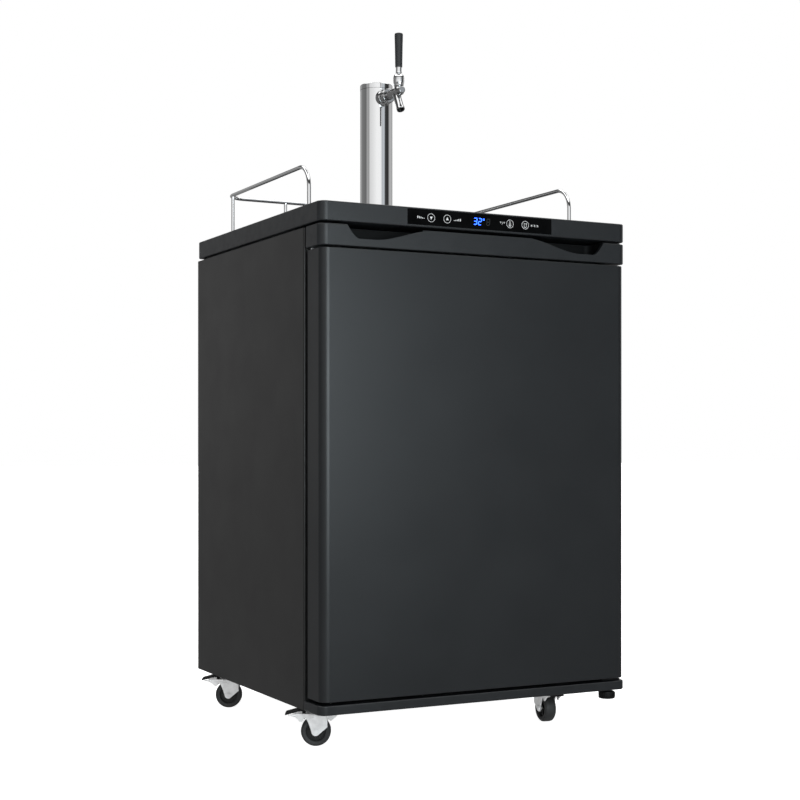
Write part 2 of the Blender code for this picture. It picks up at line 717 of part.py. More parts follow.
def evaporator():
    """Cold plate on the rear wall with a small circulation fan in front of it."""
    plate_y = (INSIDE_REAR - 4.0, INSIDE_REAR - 1.0)
    finish(box("evaporator_plate", (-190, 190), plate_y, (400, 790)), "stainless")

    half = FAN_HALF
    frame_y = (plate_y[0] - 17.0, plate_y[0] - 0.6)
    frame = box("fan_housing", (-half, half), frame_y, (FAN_Z - half, FAN_Z + half))
    cut(frame, rod("throat", "Y", (0, FAN_Z), FAN_THROAT, (frame_y[0] - 5, frame_y[1] + 5), 24))
    bar_y = (frame_y[1] - 3.0, frame_y[1] - 0.4)
    bars = box("bar", (-half + 2, half - 2), bar_y, (FAN_Z - 4, FAN_Z + 4))
    hub_seat = rod("seat", "Y", (0, FAN_Z), 14.0, bar_y, 16)
    finish(join(frame, bars, hub_seat), "black_plastic")

    hub_y = (frame_y[0] + 2.0, bar_y[0] - 1.0)
    rotor = rod("fan_rotor", "Y", (0, 0), 13.0, hub_y, 20)
    middle = sum(hub_y) / 2
    for number in range(5):
        blade = box("blade", (10.0, FAN_THROAT - 3), (-0.8, 0.8), (-6.0, 6.0))
        pitch = Matrix.Rotation(radians(55), 4, "X")
        spin = Matrix.Rotation(radians(72 * number), 4, "Y")
        blade.data.transform(Matrix.Translation((0, middle * MM, 0)) @ spin @ pitch)
        join(rotor, blade)
    rotor.data.transform(Matrix.Translation((0, 0, FAN_Z * MM)))
    finish(rotor, "black_plastic")
    pivot("fan_axis", 0.0, middle, FAN_Z, rotor)


# Worktop fittings

def rail_path():
    """Centre line of the bent rail, from one front post's foot to the other's."""
    foot = WORKTOP_TOP + GAP
    rise = arc((RAIL_FRONT + RAIL_BEND, RAIL_Z - RAIL_BEND), RAIL_BEND, 180, 90, 5)
    left = [(-RAIL_HALF, RAIL_FRONT, foot)] + [(-RAIL_HALF, y, z) for y, z in rise]
    corner = arc((-RAIL_HALF + RAIL_CORNER, RAIL_BACK - RAIL_CORNER), RAIL_CORNER, 180, 90, 5)
    left += [(x, y, RAIL_Z) for x, y in corner]
    return left + [(-x, y, z) for x, y, z in reversed(left)]


def guard_rail():
    """Bent chrome rod round the back of the worktop, on six posts."""
    rail = sweep("guard_rail", rail_path(), RAIL_RADIUS, 8)
    feet = [(side * RAIL_HALF, RAIL_BACK - RAIL_CORNER) for side in (-1, 1)]
    feet += [(side * RAIL_BACK_POST, RAIL_BACK) for side in (-1, 1)]
    posts = [rod("post", "Z", foot, RAIL_RADIUS - 0.25, (WORKTOP_TOP + GAP, RAIL_Z), 8) for foot in feet]
    return finish(join(rail, *posts), "chrome")


def drip_tray():
    """Shallow lift-off tray below the spout, with a slotted grate that lifts out of it."""
    z = (WORKTOP_TOP + GAP, WORKTOP_TOP + GAP + TRAY_HEIGHT)
    inner = TRAY_HALF - TRAY_WALL
    inner_y = (TRAY_Y[0] + TRAY_WALL, TRAY_Y[1] - TRAY_WALL)
    tray = box("drip_tray", (-TRAY_HALF, TRAY_HALF), TRAY_Y, z)
    cut(tray, box("hollow", (-inner, inner), inner_y, (z[0] + TRAY_WALL, z[1] + 5)))
    finish(tray, "stainless")

    inset = TRAY_WALL + 0.5
    plate_y = (TRAY_Y[0] + inset, TRAY_Y[1] - inset)
    plate_z = (z[1] - 4.0, z[1] - 2.0)
    grate = box("drip_grate", (-TRAY_HALF + inset, TRAY_HALF - inset), plate_y, plate_z)
    slots = []
    for number in range(GRATE_SLOTS):
        x = GRATE_PITCH * (number - (GRATE_SLOTS - 1) / 2)
        slot_y = (plate_y[0] + 14, plate_y[1] - 14)
        slots.append(box("slot", (x - 3.5, x + 3.5), slot_y, (z[1] - 8, z[1] + 2)))
    cut(grate, *slots)
    legs = [box("leg", (x - 3, x + 3), (y - 3, y + 3), (z[0] + TRAY_WALL + GAP, plate_z[0] + 0.5))
            for x in (-130.0, 130.0) for y in (plate_y[0] + 7, plate_y[1] - 7)]
    finish(join(grate, *legs), "stainless")
    middle = sum(TRAY_Y) / 2
    pivot("tray_lift", 0.0, middle, z[0], tray)
    pivot("grate_lift", 0.0, middle, plate_z[0], grate)


def tower():
    """Chrome column on a flange and gasket, closed by a cap."""
    seat = WORKTOP_TOP + GAP
    centre = (0, TOWER_Y)
    finish(washer("tower_gasket", "Z", centre, TOWER_HOLE, 49.0, (seat, seat + 1.5), 24), "black_rubber")

    foot = seat + 1.5 + GAP
    bore = TOWER_RADIUS + 0.35
    flange_profile = [(bore, foot), (48.0, foot), (48.0, foot + 2.5), (46.0, foot + 4.5)]
    flange_profile += [(38.0, foot + 6.0), (36.5, foot + 20.0), (35.0, foot + 21.5), (bore, foot + 21.5)]
    flange = lathe("tower_flange", flange_profile, "Z", (0, TOWER_Y, 0), 24, ring=True)
    finish(flange, "chrome")

    cap_seam = TOWER_TOP - 9.8
    column = washer("tower_column", "Z", centre, TOWER_BORE, TOWER_RADIUS, (foot, cap_seam - GAP), 24)
    cut(column, rod("hole", "Y", (0, SHANK_Z), SHANK_RADIUS + 0.8, (TOWER_Y - 45, TOWER_Y - 12), 16))
    finish(column, "chrome")

    cap_profile = [(0, cap_seam - 9.0), (TOWER_BORE - 0.4, cap_seam - 9.0), (TOWER_BORE - 0.4, cap_seam),
                   (TOWER_RADIUS + 0.35, cap_seam), (TOWER_RADIUS + 0.35, TOWER_TOP - 1.4),
                   (TOWER_RADIUS - 1.0, TOWER_TOP), (0, TOWER_TOP)]
    finish(lathe("tower_cap", cap_profile, "Z", (0, TOWER_Y, 0), 24), "chrome")


# Faucet

def shank_pieces():
    """Shank through the column, its flange on the outside and the nut that holds the faucet."""
    axis = (0, SHANK_Z)
    shank = washer("shank", "Y", axis, SHANK_BORE, SHANK_RADIUS, (SHANK_FRONT, SHANK_REAR), 16)
    finish(shank, "stainless")

    bore = SHANK_RADIUS + 0.35
    front = NUT_REAR + GAP
    profile = [(bore, front), (ESCUTCHEON_RADIUS - 2, front), (ESCUTCHEON_RADIUS, front + 2.5),
               (ESCUTCHEON_RADIUS, front + 13), (bore, front + 13)]
    flange = lathe("shank_flange", profile, "Y", (0, 0, SHANK_Z), 24, ring=True)
    cut(flange, rod("column", "Z", (0, TOWER_Y), TOWER_RADIUS + 0.35, (SHANK_Z - 30, SHANK_Z + 30), 24))
    finish(flange, "chrome")

    lip = BARREL_RADIUS + 0.4
    edge = NUT_RADIUS - 0.8
    rim = [(NUT_RADIUS, NUT_FRONT + 1.5), (NUT_RADIUS, NUT_REAR - 1.0)]
    profile = [(lip, NUT_FRONT), (edge, NUT_FRONT)] + rim
    profile += [(edge, NUT_REAR), (bore, NUT_REAR), (bore, NUT_FRONT + 1.7), (lip, NUT_FRONT + 1.7)]
    finish(lathe("coupling_nut", profile, "Y", (0, 0, SHANK_Z), 16, ring=True), "chrome")


def tilted(obj):
    """Moves a shape drawn down the Z axis to the spout's top and tilt."""
    turn = Matrix.Rotation(radians(-SPOUT_TILT), 4, "X")
    move = Matrix.Translation((0, SPOUT_TOP[0] * MM, SPOUT_TOP[1] * MM))
    obj.data.transform(move @ turn)
    return obj


def faucet_body():
    """Barrel, neck and spout in one casting, bored for the valve shaft and the lever's tail."""
    collar = SHANK_FRONT - GAP
    step = NUT_FRONT + 2.0
    profile = [(0, BARREL_FRONT), (6.0, BARREL_FRONT), (6.8, BARREL_FRONT + 0.8), (6.8, BARREL_FRONT + 4.5)]
    profile += [(BARREL_RADIUS, BARREL_FRONT + 8.0), (BARREL_RADIUS, step)]
    profile += [(SHANK_RADIUS, step), (SHANK_RADIUS, collar), (0, collar)]
    body = lathe("faucet_body", profile, "Y", (0, 0, SHANK_Z), 20)
    neck = rod("neck", "Z", (0, FAUCET_Y), NECK_RADIUS, (SHANK_Z, LEVER_Z - 15.1), 16)
    spout = tilted(rod("spout", "Z", (0, 0), SPOUT_RADIUS, (-SPOUT_LENGTH, 4.0), 16))
    join(body, neck, spout)
    barrel_bore = rod("bore", "Y", (0, SHANK_Z), SHANK_BORE, (BARREL_FRONT + 3.0, collar + 5), 12)
    spout_bore = tilted(rod("bore", "Z", (0, 0), SPOUT_BORE, (-SPOUT_LENGTH - 5, 1.3), 14))
    tail_slot = box("slot", (-2.6, 2.6), (FAUCET_Y - 2.4, FAUCET_Y + 9.8), (SHANK_Z, LEVER_Z))
    return finish(cut(body, barrel_bore, spout_bore, tail_slot), "chrome")


def faucet_bonnet():
    """Domed ring that holds the lever's ball; the dome is centred on the ball."""
    opening = 46.0
    bottom = -14.8
    outer = arc((0, 0), BONNET_RADIUS, 0, 90 - opening, 3)
    inner = arc((0, 0), BALL + 0.4, 90 - opening, 0, 3)
    profile = [(NECK_RADIUS, bottom), (9.6, bottom + 1.3), (BONNET_RADIUS, bottom + 6)] + outer + inner
    profile.append((BALL + 0.4, bottom))
    return finish(lathe("faucet_bonnet", profile, "Z", (0, FAUCET_Y, LEVER_Z), 16, ring=True), "chrome")


def faucet_lever():
    """Ball lever: tail below, ball, neck, ferrule and the stud inside the handle."""
    tail, neck = 1.1, 3.0
    low = degrees(asin(tail / BALL)) - 90
    high = 90 - degrees(asin(neck / BALL))
    profile = [(0, SHANK_Z + 0.5 - LEVER_Z), (tail, SHANK_Z + 0.5 - LEVER_Z)]
    profile += arc((0, 0), BALL, low, high, 7)
    profile += [(neck, 10.2), (5.2, 10.2), (5.2, 21.3), (neck, 21.3), (neck, 31.0), (0, 31.0)]
    lever = lathe("faucet_lever", profile, "Z", (0, FAUCET_Y, LEVER_Z), 16)
    finish(lever, "chrome")

    foot, top = 21.7, 86.5
    profile = [(0, 32.0), (3.3, 32.0), (3.3, foot), (5.3, foot), (5.6, foot + 1.8)]
    profile += [(7.9, top - 3.5), (7.6, top - 1.1), (6.2, top), (0, top)]
    handle = lathe("tap_handle", profile, "Z", (0, FAUCET_Y, LEVER_Z), 16)
    finish(handle, "black_plastic")
    pivot("faucet_lever_hinge", 0.0, FAUCET_Y, LEVER_Z, lever, handle)


def faucet_valve_shaft():
    """Sliding shaft in the barrel, notched for the lever's tail."""
    shaft = rod("faucet_valve_shaft", "Y", (0, SHANK_Z), VALVE_RADIUS, (-17.5, 20.0), 16)
    cut(shaft, box("notch", (-5, 5), (FAUCET_Y - 2.0, FAUCET_Y + 2.0), (SHANK_Z - 0.2, SHANK_Z + 5)))
    finish(shaft, "stainless")
    pivot("valve_slide", 0.0, FAUCET_Y, SHANK_Z, shaft)


# Draught system

def beer_line():
    """Hose from the shank down the tower and over the keg space to the coupler."""
    bend = 16.0
    turn = arc((0, SHANK_Z - bend), bend, 90, 0, 4)
    drop_y = SHANK_REAR + 4 + bend
    path = [Vector((0, SHANK_REAR + GAP, SHANK_Z))]
    path += [Vector((0, SHANK_REAR + 4 + u, v)) for u, v in turn]
    route = [(0, drop_y, 1100), (0, drop_y, 860), (-8, 92, 785), (-80, 30, 756), (-160, -50, 750),
             (-203, -88, 705), (COUPLER_X, COUPLER_Y, 620), (COUPLER_X, COUPLER_Y, 380),
             (COUPLER_X, COUPLER_Y, 215.5)]
    path += smooth_path(route, 4)
    return finish(sweep("beer_line", path, 4.8, 6), "beer_hose")


def gas_line():
    """Hose from the regulator's outlet to the coupler's side."""
    route = [(CYLINDER_X, 45, 454.5), (CYLINDER_X, 45, 400), (CYLINDER_X - 6, 20, 300)]
    route += [(CYLINDER_X - 4, 0, 215), (COUPLER_X - 1, -12, 172), (COUPLER_X, -36, 160)]
    route.append((COUPLER_X, -56.5, 160))
    return finish(sweep("gas_line", smooth_path(route, 4), 4.8, 6), "gas_hose")


def co2_cylinder():
    """Small gas cylinder with its valve body, standing at the rear left of the interior."""
    floor, radius = CYLINDER_FLOOR, CYLINDER_RADIUS
    shoulder = arc((radius - 42, 420), 42, 0, 80, 4)
    profile = [(0, floor), (radius - 6, floor), (radius, floor + 6)] + shoulder
    profile += [(14, 466), (14, 478), (10.5, 478), (10.5, 503), (0, 503)]
    body = lathe("co2_cylinder", profile, "Z", (CYLINDER_X, CYLINDER_Y, 0), 20)
    outlet = rod("outlet", "Y", (CYLINDER_X, VALVE_Z), 7.0, (CYLINDER_Y - 24, CYLINDER_Y), 12)
    finish(join(body, outlet), "bottle_aluminium")

    stem = 503.3
    grip = [(0, stem), (6, stem), (6, stem + 4), (17, stem + 4), (18, stem + 6), (18, stem + 15)]
    grip += [(16, stem + 17), (0, stem + 17)]
    knob = lathe("co2_valve_knob", grip, "Z", (CYLINDER_X, CYLINDER_Y, 0), 12)
    finish(knob, "black_plastic")
    pivot("co2_valve_axis", CYLINDER_X, CYLINDER_Y, stem, knob)


def co2_regulator():
    """Pressure regulator in front of the valve: inlet nut, body, bonnet, two gauges and an outlet."""
    start = CYLINDER_Y - 24 - GAP
    profile = [(0, start - 70), (6, start - 70), (6, start - 58), (13, start - 56), (13, start - 38)]
    profile += [(17, start - 36), (17, start - 13), (11, start - 11), (11, start), (0, start)]
    body = lathe("co2_regulator", profile, "Y", (CYLINDER_X, 0, VALVE_Z), 16)
    gauge_y = start - 26
    gauge = (gauge_y - 8, gauge_y + 6)
    top = rod("gauge", "Y", (CYLINDER_X, VALVE_Z + 44), 19.0, gauge, 16)
    top_stem = rod("stem", "Z", (CYLINDER_X, gauge_y), 4.0, (VALVE_Z, VALVE_Z + 30), 8)
    side = rod("gauge", "Y", (CYLINDER_X - 33, VALVE_Z), 17.0, gauge, 16)
    outlet = rod("outlet", "Z", (CYLINDER_X, 45), 5.0, (455.0, VALVE_Z), 8)
    return finish(join(body, top, top_stem, side, outlet), "brass")


def coupler():
    """Keg coupler at the end of both hoses, standing beside the keg space, with its lever."""
    floor = CYLINDER_FLOOR
    profile = [(0, floor), (27, floor), (27, floor + 9), (21, floor + 12), (19, floor + 60)]
    profile += [(15, floor + 66), (9, floor + 68), (8, 205), (6, 215), (0, 215)]
    body = lathe("coupler_body", profile, "Z", (COUPLER_X, COUPLER_Y, 0), 16)
    inlet = rod("inlet", "Y", (COUPLER_X, 160.0), 6.0, (COUPLER_Y, COUPLER_Y + 38), 12)
    pins = rod("pins", "X", (COUPLER_Y, COUPLER_PIVOT_Z), 3.0, (COUPLER_X - 25, COUPLER_X + 25), 12)
    finish(join(body, inlet, pins), "chrome")

    tilt = radians(130)
    along = Vector((0, cos(tilt), sin(tilt)))
    across = Vector((0, -sin(tilt), cos(tilt)))
    centre = Vector((COUPLER_X, COUPLER_Y, COUPLER_PIVOT_Z))

    def bar(name, x, start, end, thickness):
        points = [centre + along * start - across * thickness, centre + along * end - across * thickness,
                  centre + along * end + across * thickness, centre + along * start + across * thickness]
        outline = [(point.y, point.z) for point in points]
        return prism(name, outline, "X", (COUPLER_X + x[0], COUPLER_X + x[1]))

    lever = bar("coupler_lever", (-24.5, 24.5), -7.0, 40.0, 6.0)
    hole = rod("hole", "X", (COUPLER_Y, COUPLER_PIVOT_Z), 3.4, (COUPLER_X - 30, COUPLER_X + 30), 12)
    cut(lever, bar("fork", (-22.0, 22.0), -12.0, 32.0, 9.0), hole)
    finish(join(lever, bar("grip", (-9.0, 9.0), 36.0, 98.0, 5.0)), "black_plastic")
    pivot("coupler_lever_hinge", COUPLER_X, COUPLER_Y, COUPLER_PIVOT_Z, lever)


def keg_mat():
    mat = box("keg_mat", (-262, 262), (-240, 180), (INSIDE_FLOOR + GAP, MAT_TOP))
    return finish(mat, "mat_grey")


# Casters, drawn about a swivel axis at the origin with the brake pedal towards -X

def cheek_outline():
    """Side view of a yoke's cheek: front edge, axle boss, arch over the tyre and brake arm."""
    boss = arc((-TRAIL, WHEEL_RADIUS), 7.0, -40, -165, 4)
    arch = [(-21.0, 33.0), (-26.0, 45.5), (-29.0, 48.5), (-32.0, 46.0), (-35.0, 41.5)]
    arm = [(-44.0, 47.0), (-58.0, 53.0), (-58.0, 54.0), (-42.0, 56.0)]
    return [(9.0, 56.0), (9.0, 33.0)] + boss + arch + arm


def caster_yoke(tag, x, y, yaw):
    inner, outer = 12.5, 14.5
    yoke = prism("caster_yoke_" + tag, cheek_outline(), "Y", (inner, outer))
    far = prism("cheek", cheek_outline(), "Y", (-outer, -inner))
    crown = box("crown", (-22.0, 9.0), (-outer, outer), (53.5, 56.0))
    web = box("web", (7.0, 9.0), (-outer, outer), (46.0, 56.0))
    fin = [(8.5, 56.0), (26.0, 56.0), (26.0, 52.5), (13.5, 41.0), (8.5, 46.5)]
    gusset = prism("gusset", fin, "Y", (-1.0, 1.0))
    race = rod("race", "Z", (0, 0), 17.0, (55.5, BASE - 2.0), 16)
    stem = rod("stem", "Z", (0, 0), 4.0, (BASE - 3.0, BASE + 2.2), 8)
    axle = rod("axle", "Y", (-TRAIL, WHEEL_RADIUS), 3.5, (-17.0, 17.0), 8)
    join(yoke, crown, far, web, gusset, race, stem, axle)
    return finish(turned_about_z(yoke, yaw, x, y), "zinc")


def caster_wheel(tag, x, y, yaw):
    """Hard rubber wheel with a recessed hub on both sides."""
    half = WHEEL_HALF_WIDTH
    side = [(3.9, half - 2.5), (15.5, half - 3.5), (17.5, half - 0.5), (22.5, half)]
    side.append((WHEEL_RADIUS, half - 4.0))
    profile = side + [(radius, -height) for radius, height in reversed(side)]
    wheel = lathe("caster_wheel_" + tag, profile, "Y", (-TRAIL, 0, WHEEL_RADIUS), 24, ring=True)
    return finish(turned_about_z(wheel, yaw, x, y), "tyre")


def caster_brake(tag, x, y, yaw):
    """Foot pedal over the wheel, with the shoe that presses on the tyre."""
    outline = [(-24.0, 60.3), (-24.0, 63.8), (-36.0, 63.8), (-44.0, 62.2), (-63.0, 56.8), (-63.0, 53.2),
               (-44.0, 58.5), (-36.0, 60.0)]
    pedal = prism("caster_brake_" + tag, outline, "Y", (-12.0, 12.0))
    shoe = box("shoe", (-34.0, -29.0), (-9.0, 9.0), (46.0, 61.5))
    return finish(turned_about_z(join(pedal, shoe), yaw, x, y), "black_plastic")


def caster(tag, x, y, yaw):
    """Three pieces: the yoke swivels on its stem, the wheel turns on the axle and the brake tips."""
    yoke = caster_yoke(tag, x, y, yaw)
    wheel = caster_wheel(tag, x, y, yaw)
    brake = caster_brake(tag, x, y, yaw)
    pivot("caster_swivel_" + tag, x, y, BASE, yoke)
    turn = Matrix.Rotation(radians(yaw), 3, "Z")
    axle = turn @ Vector((-TRAIL, 0, 0))
    pivot("caster_axle_" + tag, x + axle.x, y + axle.y, WHEEL_RADIUS, wheel)
    hinge = turn @ Vector((BRAKE_PIVOT[0], 0, 0))
    pivot("caster_brake_hinge_" + tag, x + hinge.x, y + hinge.y, BRAKE_PIVOT[1], brake)


def main():
    for obj in list(bpy.data.objects):
        bpy.data.objects.remove(obj)
    side_panel("left_side_panel", -1)
    side_panel("right_side_panel", 1)
    back_panel()
    base_pan()
    top_deck()
    inner_liner()
    insulation_foam()
    worktop()
    controls()
    front_plinth()
    hinges()
    levelling_foot()
    door()
    compressor()
    condenser_coil()
    rear_cover()
    evaporator()
    guard_rail()
    drip_tray()
    tower()
    shank_pieces()
    faucet_body()
    faucet_bonnet()
    faucet_lever()
    faucet_valve_shaft()
    beer_line()
    gas_line()
    co2_cylinder()
    co2_regulator()
    coupler()
    keg_mat()
    for settings in CASTERS:
        caster(*settings)


main()
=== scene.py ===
"""The looks of a kegerator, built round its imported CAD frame.

Shapes are drawn in millimetres in the frame's own axes (+X right, +Y back, +Z up) and become metres
where a piece is made. Places and sizes come from the CAD nodes' boxes.
"""

import json
from math import asin, atan2, cos, degrees, pi, radians, sin

import bmesh
import bpy
from mathutils import Matrix, Vector


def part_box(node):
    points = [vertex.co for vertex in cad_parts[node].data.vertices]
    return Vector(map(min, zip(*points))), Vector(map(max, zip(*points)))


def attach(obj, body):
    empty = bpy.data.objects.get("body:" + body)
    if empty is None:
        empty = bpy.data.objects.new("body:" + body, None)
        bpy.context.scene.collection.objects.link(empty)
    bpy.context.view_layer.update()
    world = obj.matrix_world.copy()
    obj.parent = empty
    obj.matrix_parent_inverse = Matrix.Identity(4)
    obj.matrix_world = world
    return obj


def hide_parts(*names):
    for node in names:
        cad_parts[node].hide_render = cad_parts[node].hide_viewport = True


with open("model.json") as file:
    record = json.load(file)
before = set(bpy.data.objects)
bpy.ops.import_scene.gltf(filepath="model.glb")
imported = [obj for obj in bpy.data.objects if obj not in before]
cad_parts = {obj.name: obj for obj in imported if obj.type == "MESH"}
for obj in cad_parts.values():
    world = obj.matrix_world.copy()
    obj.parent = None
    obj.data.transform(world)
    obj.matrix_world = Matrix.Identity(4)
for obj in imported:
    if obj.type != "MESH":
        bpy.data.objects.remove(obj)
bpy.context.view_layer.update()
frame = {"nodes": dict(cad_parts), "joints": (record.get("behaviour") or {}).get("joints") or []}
MM = 0.001
WELD = 0.0005  # millimetres between points that become one
SIDES = (-1, 1)


# Reading the frame

class Span:
    """The box of a CAD node in millimetres, with its middle, its size and its limits by axis."""

    def __init__(self, node):
        low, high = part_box(node)
        self.low = low / MM
        self.high = high / MM
        self.mid = (self.low + self.high) / 2
        self.size = self.high - self.low
        self.x, self.y, self.z = zip(self.low, self.high)


def pivot_of(joint_name):
    """A joint's place in millimetres and its axis."""
    joint = next(joint for joint in frame["joints"] if joint["name"] == joint_name)
    return Vector(joint["pos_m"]) / MM, Vector(joint["axis"])


# Outlines and places

def place(axis, u, v, w):
    """Puts plane coordinates u, v and the distance w along the axis in X, Y, Z order."""
    if axis == "X":
        return Vector((w, u, v))
    if axis == "Y":
        return Vector((u, w, v))
    return Vector((u, v, w))


def turned(angle, axis, position=(0, 0, 0)):
    """The matrix that turns by degrees about an axis and moves the origin to a position."""
    return Matrix.Translation(position) @ Matrix.Rotation(radians(angle), 4, axis)


def facing(direction, position):
    """The matrix that turns +Z to a direction and moves the origin to a position."""
    turn = Vector((0, 0, 1)).rotation_difference(Vector(direction)).to_matrix().to_4x4()
    return Matrix.Translation(Vector(position)) @ turn


def grown(limits, by):
    """A (low, high) pair made longer at both ends."""
    return limits[0] - by, limits[1] + by


def about(middle, half):
    """The (low, high) pair this far out on both sides of a middle."""
    return middle - half, middle + half


def on_side(side, near, far):
    """The (low, high) pair between two distances out on one side of the middle."""
    return sorted((side * near, side * far))


def four_corners(u, v, centre=(0, 0)):
    return [(centre[0] + su * u, centre[1] + sv * v) for su in SIDES for sv in SIDES]


def arc(centre, radius, start, end, steps):
    """Points on an arc, angles in degrees."""
    angles = [radians(start + (end - start) * index / steps) for index in range(steps + 1)]
    return [(centre[0] + radius * cos(angle), centre[1] + radius * sin(angle)) for angle in angles]


def rectangle(x, y):
    return [(x[0], y[0]), (x[1], y[0]), (x[1], y[1]), (x[0], y[1])]


def rounded(x, y, radii, steps=8):
    """A rectangle with one corner radius, or with four of them counted from the lower left."""
    if not isinstance(radii, tuple):
        radii = (radii,) * 4
    outline = []
    corners = [(x[0], y[0], 1, 1), (x[1], y[0], -1, 1), (x[1], y[1], -1, -1), (x[0], y[1], 1, -1)]
    for index, (cx, cy, sx, sy) in enumerate(corners):
        radius = radii[index]
        if radius == 0:
            outline.append((cx, cy))
            continue
        start = 180 + 90 * index
        outline += arc((cx + sx * radius, cy + sy * radius), radius, start, start + 90, steps)
    return outline


def filleted(points, radius, steps=4):
    """A 2-D polyline with its inner corners rounded."""
    path = [Vector(points[0])]
    for before, corner, after in zip(points, points[1:], points[2:]):
        corner = Vector(corner)
        back = (Vector(before) - corner).normalized()
        ahead = (Vector(after) - corner).normalized()
        half_angle = back.angle(ahead) / 2
        reach = radius * cos(half_angle) / sin(half_angle)
        middle = corner + (back + ahead).normalized() * (radius / sin(half_angle))
        start = corner + back * reach - middle
        turn = start.angle_signed(corner + ahead * reach - middle)
        for step in range(steps + 1):
            path.append(middle + Matrix.Rotation(-turn * step / steps, 2) @ start)
    path.append(Vector(points[-1]))
    return path


def ribbon(points, thickness):
    """The outline of a strip of this thickness, centred on a 2-D polyline."""
    points = [Vector(point) for point in points]
    left, right = [], []
    for index, point in enumerate(points):
        along = (points[min(index + 1, len(points) - 1)] - points[max(index - 1, 0)]).normalized()
        normal = Vector((-along.y, along.x)) * (thickness / 2)
        left.append(tuple(point + normal))
        right.append(tuple(point - normal))
    return left + right[::-1]


def raised(profile, base):
    """A turned profile, or the part of one, with its heights counted from a base."""
    return [(radius, base + height) for radius, height in profile]


def softened(profile, radius, steps=3):
    """A turned profile whose corners are rounded, for light to catch."""
    straight = radians(155)
    limit = [(Vector(b) - Vector(a)).length for a, b in zip(profile, profile[1:])]
    path = [tuple(profile[0])]
    for index in range(1, len(profile) - 1):
        before, corner, after = (Vector(profile[index + offset]) for offset in (-1, 0, 1))
        back = (before - corner).normalized()
        ahead = (after - corner).normalized()
        if back.angle(ahead) > straight:
            path.append(tuple(corner))
            continue
        reach = min(radius, limit[index - 1] * 0.45, limit[index] * 0.45)
        for step in range(steps + 1):
            t = step / steps
            path.append(tuple(corner + back * reach * (1 - t) ** 2 + ahead * reach * t ** 2))
    path.append(tuple(profile[-1]))
    return path


def spaced(start, end, step):
    """Places from the start up to, and not on, the end."""
    places = []
    while start < end:
        places.append(start)
        start += step
    return places


def thread(low, high, pitch, root, crest):
    """The profile of a screw thread between two heights."""
    profile = []
    for start in spaced(low, high - pitch, pitch):
        profile += [(root, start + pitch * 0.2), (crest, start + pitch * 0.6)]
    return profile


def curve(points, steps=8):
    """A Catmull-Rom curve through the points."""
    known = [Vector(point) for point in points]
    known = [known[0] * 2 - known[1]] + known + [known[-1] * 2 - known[-2]]
    path = []
    for index in range(1, len(known) - 2):
        a, b, c, d = known[index - 1:index + 3]
        for step in range(steps):
            t = step / steps
            path.append(0.5 * (2 * b + (c - a) * t + (2 * a - 5 * b + 4 * c - d) * t ** 2
                               + (3 * b - a - 3 * c + d) * t ** 3))
    path.append(known[-2])
    return path


def winding(half, low, y, pitch, passes, steps):
    """A path from side to side, one pass above the other, with round turns at the ends."""
    path = []
    for number in range(passes):
        side = 1 if number % 2 == 0 else -1
        z = low + pitch * number
        path += [(-side * half, y, z), (side * half, y, z)]
        if number < passes - 1:
            turn = arc((0, z + pitch / 2), pitch / 2, -90, 90, steps)[1:-1]
            path += [(side * (half + u), y, v) for u, v in turn]
    return path


# Solids. Each makes a new bmesh, or adds to the one named by into.

def skin(bm, rings, closed=False):
    """Faces between rings of vertices; a ring of one vertex is a point."""
    faces = []
    pairs = list(zip(rings, rings[1:]))
    if closed:
        pairs.append((rings[-1], rings[0]))
    for low, high in pairs:
        count = max(len(low), len(high))
        for index in range(count):
            after = (index + 1) % count
            corners = [low[index % len(low)], low[after % len(low)],
                       high[after % len(high)], high[index % len(high)]]
            faces.append(bm.faces.new(list(dict.fromkeys(corners))))
    return faces


def round_edges(bm, faces, width, segments, angle=30.0):
    """Bevels the sharp edges of these faces."""
    edges = {edge for face in faces for edge in face.edges}
    sharp = [edge for edge in edges if edge.is_manifold and edge.calc_face_angle() > radians(angle)]
    bmesh.ops.bevel(bm, geom=sharp, offset=width, segments=segments, profile=0.5, affect="EDGES",
                    clamp_overlap=True)


def prism(outline, axis, span, bevel=0.0, segments=3, rims_only=False, into=None):
    """An outline extruded along an axis; bevel rounds its edges."""
    bm = bmesh.new() if into is None else into
    ends = [[bm.verts.new(place(axis, u, v, w)) for u, v in outline] for w in span]
    faces = skin(bm, ends)
    caps = [bm.faces.new(ring) for ring in ends]
    bmesh.ops.recalc_face_normals(bm, faces=faces + caps)
    if bevel:
        round_edges(bm, caps if rims_only else faces + caps, bevel, segments)
    return bm


def block(x, y, z, bevel=0.0, segments=2, into=None):
    return prism(rectangle(x, y), "Z", z, bevel, segments, into=into)


def lathe(profile, axis, centre, sides=48, base=0.0, soft=0.0, loop=False, into=None):
    """Turns (radius, height) points about an axis; heights count from a base.

    Soft rounds the profile's corners. A loop is the closed profile of a ring.
    """
    bm = bmesh.new() if into is None else into
    profile = raised(profile, base)
    if soft:
        profile = softened(profile + profile[:1], soft)[:-1] if loop else softened(profile, soft)
    origin = Vector(centre)
    angles = [2 * pi * index / sides for index in range(sides)]
    rings = []
    for radius, height in profile:
        around = angles if radius else angles[:1]
        rings.append([bm.verts.new(origin + place(axis, radius * cos(a), radius * sin(a), height))
                      for a in around])
    bmesh.ops.recalc_face_normals(bm, faces=skin(bm, rings, loop))
    return bm


def rod(axis, centre, radius, span, sides=48, into=None):
    """A plain cylinder; centre gives the two coordinates across the axis."""
    profile = [(0, span[0]), (radius, span[0]), (radius, span[1]), (0, span[1])]
    return lathe(profile, axis, place(axis, *centre, 0.0), sides, into=into)


